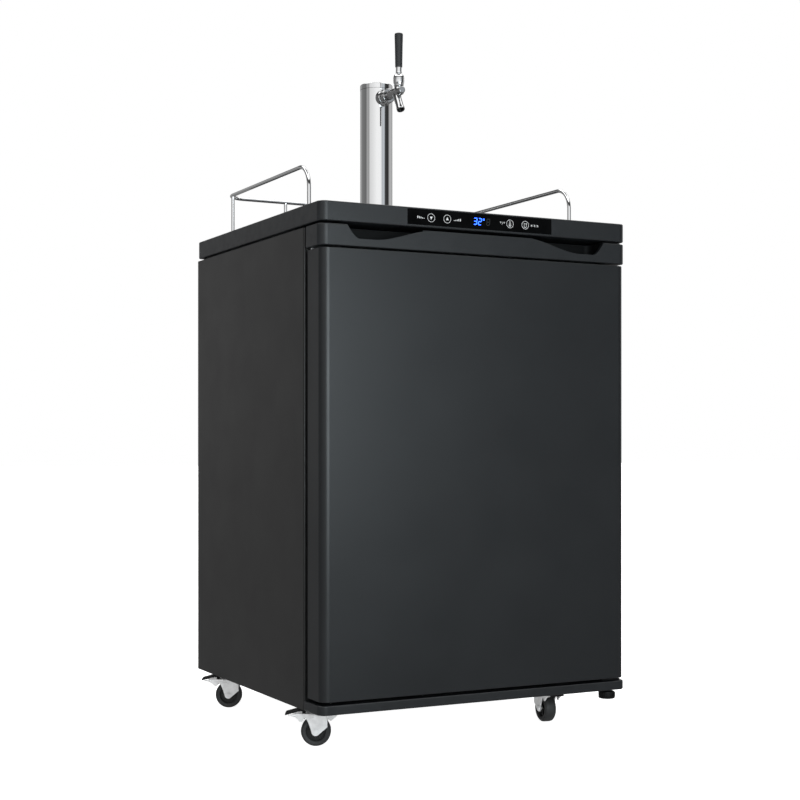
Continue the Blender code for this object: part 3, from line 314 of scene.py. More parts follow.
def tube(path, radius, sides=16, into=None):
    """A round bar along a path, with flat ends."""
    bm = bmesh.new() if into is None else into
    points = [Vector(point) for point in path]
    tangents = [(points[min(index + 1, len(points) - 1)] - points[max(index - 1, 0)]).normalized()
                for index in range(len(points))]
    angles = [2 * pi * index / sides for index in range(sides)]
    across = tangents[0].orthogonal().normalized()
    rings = []
    for point, tangent in zip(points, tangents):
        across = (across - tangent * across.dot(tangent)).normalized()
        other = tangent.cross(across)
        rings.append([bm.verts.new(point + radius * (cos(angle) * across + sin(angle) * other))
                      for angle in angles])
    faces = skin(bm, rings) + [bm.faces.new(rings[0]), bm.faces.new(rings[-1])]
    bmesh.ops.recalc_face_normals(bm, faces=faces)
    return bm


def hexagon(radius, span, chamfer):
    """A chamfered hexagonal head on the Z axis."""
    return prism(arc((0, 0), radius, 0, 360, 6)[:-1], "Z", span, chamfer, 2)


def moved(bm, matrix):
    bmesh.ops.transform(bm, matrix=matrix, verts=bm.verts)
    return bm


def added(bm, other, matrix=None):
    """Puts another bmesh's geometry into this one and frees it."""
    if matrix is not None:
        moved(other, matrix)
    mesh = bpy.data.meshes.new("part")
    other.to_mesh(mesh)
    other.free()
    bm.from_mesh(mesh)
    bpy.data.meshes.remove(mesh)
    return bm


def temporary(bm):
    """An object with a bmesh's shape, for the boolean modifier."""
    mesh = bpy.data.meshes.new("temporary")
    bmesh.ops.recalc_face_normals(bm, faces=bm.faces)
    bm.to_mesh(mesh)
    bm.free()
    obj = bpy.data.objects.new("temporary", mesh)
    bpy.context.scene.collection.objects.link(obj)
    return obj


def boolean(bm, operation, tools):
    """The bmesh after each tool is cut from it or joined to it."""
    target = temporary(bm)
    for tool_bm in tools:
        tool = temporary(tool_bm)
        modifier = target.modifiers.new(operation, "BOOLEAN")
        modifier.operation = operation
        modifier.solver = "EXACT"
        modifier.object = tool
        evaluated = target.evaluated_get(bpy.context.evaluated_depsgraph_get())
        mesh = bpy.data.meshes.new_from_object(evaluated)
        target.modifiers.clear()
        target.data = mesh
        bpy.data.objects.remove(tool)
    result = bmesh.new()
    result.from_mesh(target.data)
    bpy.data.objects.remove(target)
    bmesh.ops.remove_doubles(result, verts=result.verts, dist=WELD)
    return result


def cut(bm, *tools):
    return boolean(bm, "DIFFERENCE", tools)


def join(bm, *tools):
    return boolean(bm, "UNION", tools)


def piece(name, bm, finish, body="root", nodes=(), crease=35.0):
    """Makes a bmesh a shown piece that rides on a body and stands for these CAD nodes."""
    bmesh.ops.remove_doubles(bm, verts=bm.verts, dist=WELD)
    bmesh.ops.scale(bm, vec=(MM, MM, MM), verts=bm.verts)
    mesh = bpy.data.meshes.new(name)
    bm.to_mesh(mesh)
    bm.free()
    obj = bpy.data.objects.new(name, mesh)
    bpy.context.scene.collection.objects.link(obj)
    mesh.materials.append(FINISHES[finish].material)
    mesh.shade_smooth()
    mesh.set_sharp_from_angle(angle=radians(crease))
    weighted = obj.modifiers.new("weighted_normals", "WEIGHTED_NORMAL")
    weighted.keep_sharp = True
    weighted.weight = 80
    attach(obj, body)
    if nodes:
        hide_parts(*nodes)
    return obj


def dress(name, finish):
    """Gives a finish to a CAD node that keeps its own shape."""
    obj = frame["nodes"][name]
    obj.data.materials.clear()
    obj.data.materials.append(FINISHES[finish].material)
    return obj


# Finishes

class Nodes:
    """A node tree that is being filled."""

    def __init__(self, tree):
        self.tree = tree

    def node(self, kind, **settings):
        made = self.tree.nodes.new(kind)
        for key, value in settings.items():
            setattr(made, key, value)
        return made

    def link(self, source, target):
        self.tree.links.new(source, target)

    def ramp(self, factor, *stops):
        """A colour ramp with these (position, colour) stops, in rising order."""
        made = self.node("ShaderNodeValToRGB")
        elements = made.color_ramp.elements
        elements.remove(elements[-1])
        for index, (position, colour) in enumerate(stops):
            stop = elements[0] if index == 0 else elements.new(position)
            stop.position = position
            stop.color = (*colour, 1.0)
        self.link(factor, made.inputs["Fac"])
        return made.outputs["Color"]

    def spread(self, factor, start, end, low=0.0, high=1.0):
        """Carries a value from the range start to end over to the range low to high."""
        made = self.node("ShaderNodeMapRange")
        for socket, value in (("From Min", start), ("From Max", end), ("To Min", low), ("To Max", high)):
            made.inputs[socket].default_value = value
        self.link(factor, made.inputs["Value"])
        return made.outputs["Result"]

    def mix(self, factor, *colours):
        """Mixes two colours, each a socket or a plain colour."""
        made = self.node("ShaderNodeMix", data_type="RGBA")
        self.link(factor, made.inputs["Factor"])
        for socket, colour in zip("AB", colours):
            if isinstance(colour, tuple):
                made.inputs[socket].default_value = (*colour, 1.0)
            else:
                self.link(colour, made.inputs[socket])
        return made.outputs["Result"]


class Finish(Nodes):
    """A procedural material. Patterns use object coordinates, which are metres in the frame."""

    def __init__(self, name, slot, colour, roughness, metallic=0.0, **sockets):
        self.material = bpy.data.materials.new(name)
        self.material.use_nodes = True
        super().__init__(self.material.node_tree)
        self.slot = slot
        self.shader = self.tree.nodes["Principled BSDF"]
        self.shader.inputs["Base Color"].default_value = (*colour, 1.0)
        self.shader.inputs["Roughness"].default_value = roughness
        self.shader.inputs["Metallic"].default_value = metallic
        for socket, value in sockets.items():
            self.shader.inputs[socket.replace("_", " ")].default_value = value
        self.coordinates = self.node("ShaderNodeTexCoord").outputs["Object"]
        self.normal = None

    def noise(self, scale, detail=3.0, stretch=(1, 1, 1), roughness=0.5):
        """Cloudy noise; scale is in repeats per metre."""
        texture = self.node("ShaderNodeTexNoise")
        texture.inputs["Scale"].default_value = scale
        texture.inputs["Detail"].default_value = detail
        texture.inputs["Roughness"].default_value = roughness
        mapping = self.node("ShaderNodeMapping")
        mapping.inputs["Scale"].default_value = stretch
        self.link(self.coordinates, mapping.inputs["Vector"])
        self.link(mapping.outputs["Vector"], texture.inputs["Vector"])
        return texture.outputs["Fac"]

    def cells(self, scale, output="Distance"):
        texture = self.node("ShaderNodeTexVoronoi", feature="F1")
        texture.inputs["Scale"].default_value = scale
        self.link(self.coordinates, texture.inputs["Vector"])
        return texture.outputs[output]

    def tint(self, factor, low, high, start=0.3, end=0.7):
        """Varies the colour between low and high."""
        self.link(self.ramp(factor, (start, low), (end, high)), self.shader.inputs["Base Color"])

    def sheen(self, factor, low, high, start=0.3, end=0.7):
        """Varies the roughness between low and high."""
        self.link(self.spread(factor, start, end, low, high), self.shader.inputs["Roughness"])

    def bump(self, height, distance):
        """Raises the surface by up to distance millimetres; calls add up."""
        node = self.node("ShaderNodeBump")
        node.inputs["Strength"].default_value = 1.0
        node.inputs["Distance"].default_value = distance * MM
        self.link(height, node.inputs["Height"])
        if self.normal is not None:
            self.link(self.normal, node.inputs["Normal"])
        self.normal = node.outputs["Normal"]
        self.link(self.normal, self.shader.inputs["Normal"])


def grey(value, blue=0.0):
    return value, value * (1 + blue / 2), value * (1 + blue)


def painted(name, slot, level, blue, roughness, texture=0.02):
    """Satin paint: orange peel, a fine dust of texture and faint drifts of gloss."""
    finish = Finish(name, slot, grey(level, blue), roughness)
    finish.tint(finish.noise(7.0, 4.0), grey(level * 0.93, blue), grey(level * 1.07, blue))
    finish.sheen(finish.noise(11.0, 3.0), roughness - 0.03, roughness + 0.03)
    finish.bump(finish.noise(420.0, 2.0), texture)
    finish.bump(finish.noise(2400.0, 1.0), texture * 0.3)
    return finish


def moulded(name, slot, level, blue, roughness, grain=0.03, scale=1500.0, specular=0.5):
    """Moulded plastic with a spark-eroded grain."""
    finish = Finish(name, slot, grey(level, blue), roughness, Specular_IOR_Level=specular)
    finish.tint(finish.noise(9.0, 3.0), grey(level * 0.9, blue), grey(level * 1.1, blue))
    finish.sheen(finish.noise(60.0, 2.0), roughness - 0.04, roughness + 0.04)
    finish.bump(finish.noise(scale, 2.0), grain)
    return finish


def plated(name, slot, level, low, high, polish=0.004):
    """Polished plating: almost a mirror, with soft drifts of haze and polishing waviness."""
    finish = Finish(name, slot, grey(level, 0.01), low, 1.0)
    finish.sheen(finish.noise(45.0, 4.0), low, high)
    finish.bump(finish.noise(60.0, 1.0), polish)
    return finish


def brushed(name, slot, level, roughness, stretch, depth=0.008):
    """Brushed metal; stretch is small along the brushing."""
    finish = Finish(name, slot, grey(level), roughness, 1.0)
    lines = finish.noise(900.0, 4.0, stretch, 0.7)
    finish.tint(lines, grey(level * 0.82), grey(level * 1.05))
    finish.sheen(lines, roughness - 0.08, roughness + 0.10)
    finish.bump(lines, depth)
    return finish


def rubber(name, slot, level, roughness):
    """Matt rubber with a fine pitted skin."""
    finish = Finish(name, slot, grey(level, 0.05), roughness)
    finish.tint(finish.noise(40.0, 4.0), grey(level * 0.88, 0.05), grey(level * 1.14, 0.05))
    finish.bump(finish.noise(900.0, 3.0), 0.03)
    return finish


def zinc_plate():
    """Zinc plating: bright, slightly cloudy, with faint mill marks."""
    finish = Finish("zinc_plate", "zinc", grey(0.88), 0.38, 0.45)
    clouds = finish.noise(120.0, 5.0)
    finish.tint(clouds, grey(0.80), grey(0.94))
    finish.sheen(clouds, 0.28, 0.42)
    finish.bump(finish.noise(1500.0, 3.0, (1, 1, 0.2)), 0.01)
    return finish


def galvanised_sheet():
    """Hot-dipped sheet with its spangle."""
    finish = Finish("galvanised_sheet", "galvanised", grey(0.6), 0.4, 1.0)
    spangle = finish.cells(160.0, "Color")
    finish.tint(spangle, grey(0.50), grey(0.62), 0.1, 0.9)
    finish.sheen(spangle, 0.3, 0.5, 0.1, 0.9)
    return finish


def formed_plastic():
    """White vacuum-formed sheet, slightly wavy and glossy."""
    finish = Finish("formed_plastic", "liner_plastic", (0.64, 0.65, 0.65), 0.32)
    finish.tint(finish.noise(5.0, 3.0), (0.61, 0.62, 0.625), (0.66, 0.668, 0.665))
    finish.sheen(finish.noise(30.0, 3.0), 0.27, 0.38)
    finish.bump(finish.noise(90.0, 2.0), 0.05)
    finish.bump(finish.noise(1100.0, 2.0), 0.012)
    return finish


def rigid_foam():
    """Yellow insulation foam, open-pored where it is cut."""
    finish = Finish("rigid_foam", "foam", (0.80, 0.70, 0.42), 0.85)
    pores = finish.cells(900.0)
    finish.tint(pores, (0.62, 0.50, 0.26), (0.86, 0.78, 0.52), 0.0, 0.6)
    finish.bump(pores, 0.3)
    return finish


def fascia_gloss():
    """Black acrylic strip with a wiped-clean gloss."""
    finish = Finish("fascia_gloss", "fascia_gloss", grey(0.0015, 0.1), 0.05, Specular_IOR_Level=0.03)
    finish.sheen(finish.noise(60.0, 5.0), 0.03, 0.08)
    finish.tint(finish.noise(30.0, 2.0), grey(0.0010, 0.1), grey(0.0022, 0.1))
    return finish


def digit_glow():
    """A lit segment, a little uneven as light from one small lamp is."""
    blue = (0.02, 0.10, 1.0)
    finish = Finish("digit_glow", "fascia_gloss", blue, 0.4, Emission_Strength=6.0)
    dim = tuple(channel * 0.85 for channel in blue)
    glow = finish.ramp(finish.noise(260.0, 2.0), (0.3, dim), (0.7, blue))
    finish.link(glow, finish.shader.inputs["Emission Color"])
    return finish


def printed_ink():
    """White ink, a little thin in places."""
    finish = Finish("printed_ink", "fascia_gloss", grey(0.55), 0.5)
    finish.tint(finish.noise(800.0, 3.0), grey(0.42), grey(0.62))
    return finish


def copper_pipe():
    """Copper with drifts of tarnish."""
    finish = Finish("copper_pipe", "brass", (0.78, 0.40, 0.26), 0.3, 1.0)
    tarnish = finish.noise(55.0, 5.0)
    finish.tint(tarnish, (0.45, 0.20, 0.13), (0.86, 0.47, 0.32))
    finish.sheen(tarnish, 0.22, 0.48)
    return finish


def turned_brass():
    """Brass with fine lathe lines."""
    finish = Finish("turned_brass", "brass", (0.78, 0.60, 0.30), 0.26, 1.0)
    lines = finish.noise(1500.0, 3.0, (0.15, 1, 0.15))
    finish.tint(lines, (0.62, 0.45, 0.19), (0.82, 0.64, 0.34))
    finish.sheen(lines, 0.2, 0.36)
    finish.bump(lines, 0.008)
    return finish


def hose(name, low, high, roughness, **sockets):
    """Drawn tubing with faint clouds of colour."""
    finish = Finish(name, name, high, roughness, **sockets)
    finish.tint(finish.noise(35.0, 3.0), low, high)
    finish.bump(finish.noise(300.0, 2.0), 0.04)
    return finish


def circuit_board():
    """Green board with small raised parts."""
    finish = Finish("circuit_board", "board", (0.02, 0.15, 0.06), 0.35)
    finish.tint(finish.cells(260.0, "Color"), (0.012, 0.10, 0.04), (0.03, 0.20, 0.08), 0.2, 0.8)
    finish.bump(finish.cells(900.0), 0.05)
    return finish


def dial_paper():
    """Off-white printed card."""
    finish = Finish("dial_paper", "brass", (0.82, 0.82, 0.80), 0.6)
    finish.tint(finish.noise(400.0, 3.0), (0.76, 0.76, 0.73), (0.86, 0.86, 0.84))
    return finish


FINISHES = {
    "cabinet": painted("cabinet_paint", "cabinet_paint", 0.007, 0.0, 0.36),
    "door": painted("door_paint", "door_paint", 0.006, 0.35, 0.36),
    "back": painted("back_steel", "back_steel", 0.030, 0.0, 0.55, 0.05),
    "trim": moulded("trim_plastic", "trim_plastic", 0.007, 0.35, 0.38),
    # Darker, rougher, duller plastic for the finger pockets' faces: painted shade of the pockets under the
    # worktop's overhang
    "pocket": moulded("pocket_painted_shade", "trim_plastic", 0.003, 0.2, 0.6, specular=0.15),
    "black": moulded("black_plastic", "black_plastic", 0.006, 0.02, 0.42, 0.02, specular=0.2),
    "handle": moulded("handle_plastic", "black_plastic", 0.020, 0.15, 0.28, 0.004),
    "fascia": fascia_gloss(),
    "ink": printed_ink(),
    "digit": digit_glow(),
    "digit_off": moulded("digit_off", "fascia_gloss", 0.010, 0.3, 0.3),
    "chrome": plated("chrome_plate", "chrome", 0.90, 0.03, 0.07),
    "cast_chrome": plated("cast_chrome_plate", "chrome", 0.50, 0.05, 0.12, 0.01),
    "steel": brushed("brushed_steel", "stainless", 0.62, 0.28, (0.03, 1, 1)),
    "cold": brushed("cold_plate_aluminium", "stainless", 0.66, 0.38, (1, 1, 0.1), 0.004),
    "steel_turned": brushed("turned_steel", "stainless", 0.62, 0.24, (1, 0.3, 1)),
    "zinc": zinc_plate(),
    # Near-black paint on the hinge brackets, which also paints the shade of the dark gaps they stand in
    "hinge": painted("hinge_paint_and_gap_shade", "zinc", 0.006, 0.1, 0.42),
    "galvanised": galvanised_sheet(),
    "liner": formed_plastic(),
    "foam": rigid_foam(),
    "board": circuit_board(),
    "tyre": rubber("tyre_rubber", "tyre", 0.018, 0.55),
    "hub": moulded("hub_plastic", "tyre", 0.007, 0.0, 0.45),
    "seal": rubber("seal_rubber", "black_rubber", 0.014, 0.65),
    "mat": rubber("mat_rubber", "mat_grey", 0.22, 0.7),
    "enamel": moulded("black_enamel", "black_enamel", 0.010, 0.0, 0.30, 0.03, 500.0),
    "copper": copper_pipe(),
    "brass": turned_brass(),
    "bottle": brushed("bottle_aluminium", "bottle_aluminium", 0.70, 0.30, (1, 1, 0.04)),
    "beer_hose": hose("beer_hose", (0.70, 0.74, 0.70), (0.80, 0.83, 0.80), 0.15, Transmission_Weight=0.5),
    "gas_hose": hose("gas_hose", (0.30, 0.012, 0.010), (0.42, 0.020, 0.016), 0.4),
    "lens": Finish("clear_lens", "brass", (1, 1, 1), 0.03, Transmission_Weight=1.0, IOR=1.1),
    "paper": dial_paper(),
}


# Small hardware

def cross_head(radius, height):
    """A pan head with a cross recess, on the Z axis, seen from +Z."""
    bm = bmesh.new()
    circles, skirt, recess = 10, -0.3, height * 0.35
    arm, reach = radius * 0.14, radius * 0.62
    rings = [[bm.verts.new((0, 0, recess))]]
    for number in range(1, circles + 1):
        r = radius * number / circles
        crown = height * (1 - 0.55 * (r / radius) ** 4)
        rings.append([])
        for x, y in arc((0, 0), r, 0, 360, 48)[:-1]:
            slotted = r < reach and min(abs(x), abs(y)) < arm
            rings[-1].append(bm.verts.new((x, y, recess if slotted else crown)))
    rings.append([bm.verts.new((vertex.co.x, vertex.co.y, skirt)) for vertex in rings[-1]])
    skin(bm, rings)
    bm.faces.new(rings[-1][::-1])
    bmesh.ops.recalc_face_normals(bm, faces=bm.faces)
    return bm


def screws(name, places, direction, radius, height):
    """One piece of cross-head screws that face a direction."""
    bm = bmesh.new()
    for position in places:
        added(bm, cross_head(radius, height), facing(direction, position))
    piece(name, bm, "zinc")


def fluted(bm, count, centre, x, half_width, z, bevel):
    """Puts upright ribs round an upright axis; x gives their reach from it."""
    for index in range(count):
        rib = block(x, about(0, half_width), z, bevel)
        added(bm, rib, turned(360 / count * index, "Z", centre))


# Cabinet

CORNER = 14.6
SLAB_HEIGHT = 32.9
SHEET = 1.2
GAP = 0.3
PAST = 5.0  # how far a cutting shape runs past the face it opens
WORKTOP = Span("worktop")
FRONT = WORKTOP.low.y
HALF = WORKTOP.high.x
TOP = WORKTOP.high.z


def side_panels():
    """Folded sheets: a wide front flange, a narrow rear flange and soft folds."""
    rear_flange, fold = 20.0, 2.0
    for side, name in zip(SIDES, ("left_side_panel", "right_side_panel")):
        panel = Span(name)
        near, far = sorted(abs(x) for x in panel.x)
        front, rear = grown(panel.y, -SHEET / 2)
        outer = far - SHEET / 2
        folds = [(near, front), (outer, front), (outer, rear), (far - rear_flange, rear)]
        outline = [(side * u, v) for u, v in ribbon(filleted(folds, fold), SHEET)]
        piece(name + "_sheet", prism(outline, "Z", panel.z), "cabinet", nodes=[name])


def worktop():
    """Moulded top with soft edges, a seat for the fascia and a hole for the tower."""
    fascia, board = Span("control_fascia"), Span("display_board")
    low, rear, pad_front = TOP - SLAB_HEIGHT, WORKTOP.high.y - 10, -200.0
    outline = rounded(WORKTOP.x, WORKTOP.y, (CORNER, CORNER, 10, 10), 12)
    slab = prism(outline, "Z", (low, TOP), 2.0, 4, rims_only=True)
    pad = block(grown(WORKTOP.x, -10), (pad_front, rear), (WORKTOP.low.z, low + 1))
    seat = block(grown(fascia.x, GAP), (FRONT - PAST, fascia.high.y + GAP), grown(fascia.z, GAP))
    pocket = block(grown(board.x, 3), (FRONT - PAST, board.high.y + 4), grown(fascia.z, -2))
    hole = rod("Z", (0, TOWER_Y), TOWER_HOLE, grown(WORKTOP.z, PAST))
    piece("worktop_moulding", cut(join(slab, pad), seat, pocket, hole), "trim", nodes=["worktop"])


def plinth():
    """Ledge under the door, with a hole for the levelling foot's stud."""
    span, foot = Span("front_plinth"), Span("levelling_foot")
    outline = rounded(span.x, span.y, (CORNER, CORNER, 0, 0), 12)
    bm = prism(outline, "Z", span.z, 1.8, 4, rims_only=True)
    hole = rod("Z", foot.mid.xy, 5.4, (span.low.z - PAST, span.high.z - 2))
    piece("plinth_moulding", cut(bm, hole), "trim", nodes=["front_plinth"])


def back():
    """Back sheet with two long stiffening beads and its screws."""
    span, bay = Span("back_panel"), Span("rear_cover").high.z
    dress("back_panel", "back")
    beads = bmesh.new()
    for x in (-150.0, 150.0):
        outline = rounded(about(x, 9), (bay + 40, bay + 520), 9)
        prism(outline, "Y", (span.high.y - 0.6, span.high.y + 1.6), 1.0, into=beads)
    piece("back_stiffening_beads", beads, "back")
    edge = span.high.x - 12
    places = [(x, span.high.y, span.high.z - 14) for x in (-edge, -edge / 3, edge / 3, edge)]
    places += [(x, span.high.y, z) for z in (bay + 60, bay + 300) for x in (-edge, edge)]
    screws("back_screws", places, (0, 1, 0), 4.2, 2.4)


def base():
    """Base sheet, top sheet, foam and hinge brackets keep their CAD shapes; the brackets get soft edges."""
    dress("base_pan", "galvanised")
    dress("top_deck", "galvanised")
    dress("insulation_foam", "foam")
    # The hinge brackets take near-black paint, which also paints the shade of the gaps they stand in
    for name in ("upper_hinge", "lower_hinge"):
        shown = dress(name, "hinge")
        weld = shown.modifiers.new("weld", "WELD")
        weld.merge_threshold = 0.01 * MM
        bevel = shown.modifiers.new("soft_edges", "BEVEL")
        bevel.width = 0.4 * MM
        bevel.segments = 2
        bevel.limit_method = "ANGLE"


def hinge_screws():
    """Two screws in each hinge bracket."""
    upper, lower = Span("upper_hinge"), Span("lower_hinge")
    places = [(x, -226.0, upper.high.z) for x in (273.0, 292.0)]
    screws("upper_hinge_screws", places, (0, 0, 1), 3.6, 0.75)
    places = [(x, lower.high.y - 1.8, lower.low.z + 14) for x in (269.0, 293.0)]
    screws("lower_hinge_screws", places, (0, -1, 0), 3.4, 1.6)


# Controls

FASCIA = Span("control_fascia")
FASCIA_FRONT = FASCIA.low.y + 0.25
INK = (FASCIA_FRONT - 0.15, FASCIA_FRONT + 0.05)
ICON_RADIUS = 7.2
LINE = 0.62


def fascia_strip():
    bm = prism(rectangle(FASCIA.x, FASCIA.z), "Y", (FASCIA_FRONT, FASCIA.high.y), 0.35, 2)
    piece("fascia_strip", bm, "fascia", nodes=["control_fascia"])
    dress("display_board", "board")


def stroke(bm, points, width=LINE):
    """A line of ink through 2-D points on the fascia."""
    prism(ribbon(points, width), "Y", INK, into=bm)


def ring(bm, x, z, radius=ICON_RADIUS, width=LINE):
    lathe(rectangle((radius - width, radius), INK), "Y", (x, 0, z), loop=True, into=bm)


def arrow_icon(bm, x, z, direction):
    """A filled arrow head in a ring, pointing up (1) or down (-1)."""
    ring(bm, x, z)
    foot, tip = z - 1.9 * direction, z + 3.3 * direction
    prism([(x - 2.7, foot), (x + 2.7, foot), (x, tip)], "Y", INK, into=bm)


def thermometer_icon(bm, x, z):
    ring(bm, x, z)
    bulb_z = z - 2.6
    stem = arc((x, z + 3.2), 1.2, 0, 180, 8)
    stroke(bm, stem + arc((x, bulb_z), 2.2, 125, 415, 16) + [stem[0]], 0.55)
    prism(arc((x, bulb_z), 1.2, 0, 360, 16)[:-1], "Y", INK, into=bm)
    stroke(bm, [(x, bulb_z), (x, z + 1.6)], 0.7)


def glass_icon(bm, x, z):
    """A tall glass with a rounded foot, in a ring."""
    ring(bm, x, z)
    foot = arc((x, z - 2.2), 2.2, 185, 355, 10)
    stroke(bm, [(x - 2.6, z + 3.9), (x - 2.2, z - 2.4)] + foot + [(x + 2.6, z + 3.9)], 0.65)
    stroke(bm, [(x - 2.6, z + 2.3), (x + 2.6, z + 2.3)], 0.65)


def level_bars(bm, x, z, rising):
    """Five bars that grow to one side: a plain sign for more or less."""
    low = z - 2.2
    for index in range(5):
        height = 1.1 + 0.75 * (index if rising else 4 - index)
        prism(rectangle(about(x + (index - 2) * 3.0, 0.8), (low, low + height)), "Y", INK, into=bm)


def flake(bm, x, z):
    """A six-armed snowflake."""
    for start, end in zip(arc((x, z), 2.2, 180, 300, 2), arc((x, z), 2.2, 0, 120, 2)):
        stroke(bm, [start, end], 0.5)


def fascia_icons():
    """White printed signs either side of the display."""
    z = FASCIA.mid.z
    bm = bmesh.new()
    level_bars(bm, -118.0, z, False)
    arrow_icon(bm, -98.3, z, -1)
    arrow_icon(bm, -67.0, z, 1)
    level_bars(bm, -47.5, z, True)
    ring(bm, 39.0, z + 1.6, 1.3, 0.5)
    stroke(bm, [(41.6, z - 2.4), (44.2, z + 2.8)], 0.5)
    ring(bm, 46.4, z + 1.6, 1.3, 0.5)
    thermometer_icon(bm, 58.0, z)
    glass_icon(bm, 89.3, z)
    for x in (102.5, 108.5, 114.5):
        flake(bm, x, z)
    piece("fascia_icons", bm, "ink")


# Places of a digit's segments, in half widths and half heights from its middle
SEGMENTS = {"a": (0, 1), "b": (1, 0.5), "c": (1, -0.5), "d": (0, -1), "e": (-1, -0.5), "f": (-1, 0.5),
            "g": (0, 0)}


def digit(bm, x, lit):
    """A seven-segment digit, leaning a little to the right."""
    half_width, half_height, tip, gap, lean = 2.9, 5.4, 0.625, 0.5, 0.10
    for name in lit:
        sx, sz = SEGMENTS[name]
        flat = sx == 0
        half = ((2 * half_width if flat else half_height) - gap) / 2
        bar = [(-half, 0), (-half + tip, tip), (half - tip, tip), (half, 0), (half - tip, -tip),
               (-half + tip, -tip)]
        outline = []
        for u, v in bar:
            along, up = (u, v) if flat else (v, u)
            up += sz * half_height
            outline.append((x + sx * half_width + along + up * lean, FASCIA.mid.z + up))
        prism(outline, "Y", INK, into=bm)


def display():
    """A two-digit temperature with a degree ring and one unlit digit."""
    lit = bmesh.new()
    digit(lit, -11.6, "abcdg")
    digit(lit, -2.6, "abdeg")
    ring(lit, 5.0, FASCIA.mid.z + 4.0, 1.7, 0.9)
    piece("display_digits", lit, "digit")
    unlit = bmesh.new()
    digit(unlit, 14.0, "abcdefg")
    piece("display_unlit_digit", unlit, "digit_off")


# Door

PANEL = Span("door_skin")
TRIM = Span("door_handle_trim")
DOOR_LINER = Span("door_liner")
HINGE = pivot_of("door_hinge")[0]
HINGE_HOLE = 4.7
POCKET_START = 49.0
POCKET_FLAT = (73.0, 100.0)
POCKET_END = 212.0
POCKET_DEPTH = 23.0
LIP_STEP = 1.5


def liner_rebate(rear, z):
    """The space for the door liner's edge behind the door."""
    return block(grown(DOOR_LINER.x, GAP), (rear - 2.3, rear + PAST), z)


def door_panel():
    """Foam-filled steel door panel, rounded at its front corners, with a rebate for its liner."""
    outline = rounded(PANEL.x, PANEL.y, (CORNER, CORNER, 0.8, 0.8), 14)
    bm = prism(outline, "Z", PANEL.z, 2.6, 5, rims_only=True)
    rebate = liner_rebate(PANEL.high.y, (DOOR_LINER.low.z - GAP, PANEL.high.z + PAST))
    hole = rod("Z", HINGE.xy, HINGE_HOLE, (PANEL.low.z - PAST, PANEL.low.z + 12))
    piece("door_panel", cut(bm, rebate, hole), "door", "door", ["door_skin", "door_foam"])


def lip_drop(distance):
    """How far the trim's front lip drops at this distance from the door's edge."""
    if distance < POCKET_FLAT[0]:
        part = (distance - POCKET_START) / (POCKET_FLAT[0] - POCKET_START)
        return POCKET_DEPTH * sin(pi / 2 * part)
    part = min(1.0, max(0.0, (distance - POCKET_FLAT[1]) / (POCKET_END - POCKET_FLAT[1])))
    return POCKET_DEPTH - (POCKET_DEPTH - LIP_STEP) * part * part * (3 - 2 * part)


def lip_outline():
    """The space above the wavy front lip, from one pocket's end to the other's."""
    steps = 16
    rise, fall = POCKET_FLAT[0] - POCKET_START, POCKET_END - POCKET_FLAT[1]
    distances = [POCKET_START + rise * step / steps for step in range(steps)] + [POCKET_FLAT[0]]
    distances += [POCKET_FLAT[1] + fall * step / (2 * steps) for step in range(2 * steps + 1)]
    left = [(distance - HALF, TRIM.high.z - lip_drop(distance)) for distance in distances]
    right = [(-x, z) for x, z in reversed(left)]
    above = TRIM.high.z + PAST
    return [(left[0][0], above)] + left + right + [(right[-1][0], above)]


def handle_trim():
    """Moulded strip above the door panel, with a finger pocket behind its wavy lip at either end."""
    inner, outer, floor_z = HALF - 195.0, HALF - POCKET_START - 1.0, TRIM.low.z + 7.8
    lip_back, channel_back = FRONT + 8.0, FRONT + 46.0
    outline = rounded(TRIM.x, TRIM.y, (CORNER, CORNER, 0, 0), 14)
    bm = prism(outline, "Z", TRIM.z, 1.8, 4, rims_only=True)
    lip = prism(lip_outline(), "Y", (FRONT - PAST, lip_back))
    channels = []
    for side in SIDES:
        outline = rounded(on_side(side, inner, outer), (lip_back - 0.5, channel_back), (0, 0, 12, 12))
        channels.append(prism(outline, "Z", (floor_z, TRIM.high.z + PAST)))
    rebate = liner_rebate(TRIM.high.y, (TRIM.low.z - PAST, TRIM.high.z - 1.4))
    hole = rod("Z", HINGE.xy, HINGE_HOLE, (TRIM.high.z - 13, TRIM.high.z + PAST))
    bm = cut(bm, lip, *channels, rebate, hole)
    round_edges(bm, list(bm.faces), 0.5, 2, 50.0)
    trim = piece("handle_trim", bm, "trim", "door", ["door_handle_trim"])
    # Faces inside the finger pockets take the darker, duller plastic: painted shade for the pockets under
    # the worktop's overhang
    trim.data.materials.append(FINISHES["pocket"].material)
    for face in trim.data.polygons:
        x, y, z = face.center / MM
        across = inner - 1 < abs(x) < outer + 1 and FRONT + 4 < y < channel_back + 1
        if across and TRIM.low.z + 3 < z < TRIM.high.z - 1:
            face.material_index = 1


def inner_panel():
    """Formed inner panel of the door: a soft-edged plug with a groove pressed round it."""
    sheet = 2.0
    x, z = (-258.0, 258.0), (132.0, 819.0)
    low, high = DOOR_LINER.y
    plug = prism(rounded(x, z, 22), "Y", (low + sheet - 1, high), 6.0, 4, rims_only=True)
    bm = join(prism(rounded(DOOR_LINER.x, DOOR_LINER.z, 4), "Y", (low, low + sheet)), plug)
    groove = prism(rounded(grown(x, -52), grown(z, -52), 16, 6), "Y", (high - 2.5, high + PAST))
    island = prism(rounded(grown(x, -58), grown(z, -58), 12, 6), "Y", about(high, 9))
    piece("door_inner_panel", cut(bm, cut(groove, island)), "liner", "door", ["door_liner"])


def hoop(x, z, width, y, bevel=0.0):
    """A rectangular frame that faces forward, with bars of this width."""
    opening = prism(rectangle(grown(x, -width), grown(z, -width)), "Y", grown(y, PAST))
    return cut(prism(rectangle(x, z), "Y", y, bevel), opening)


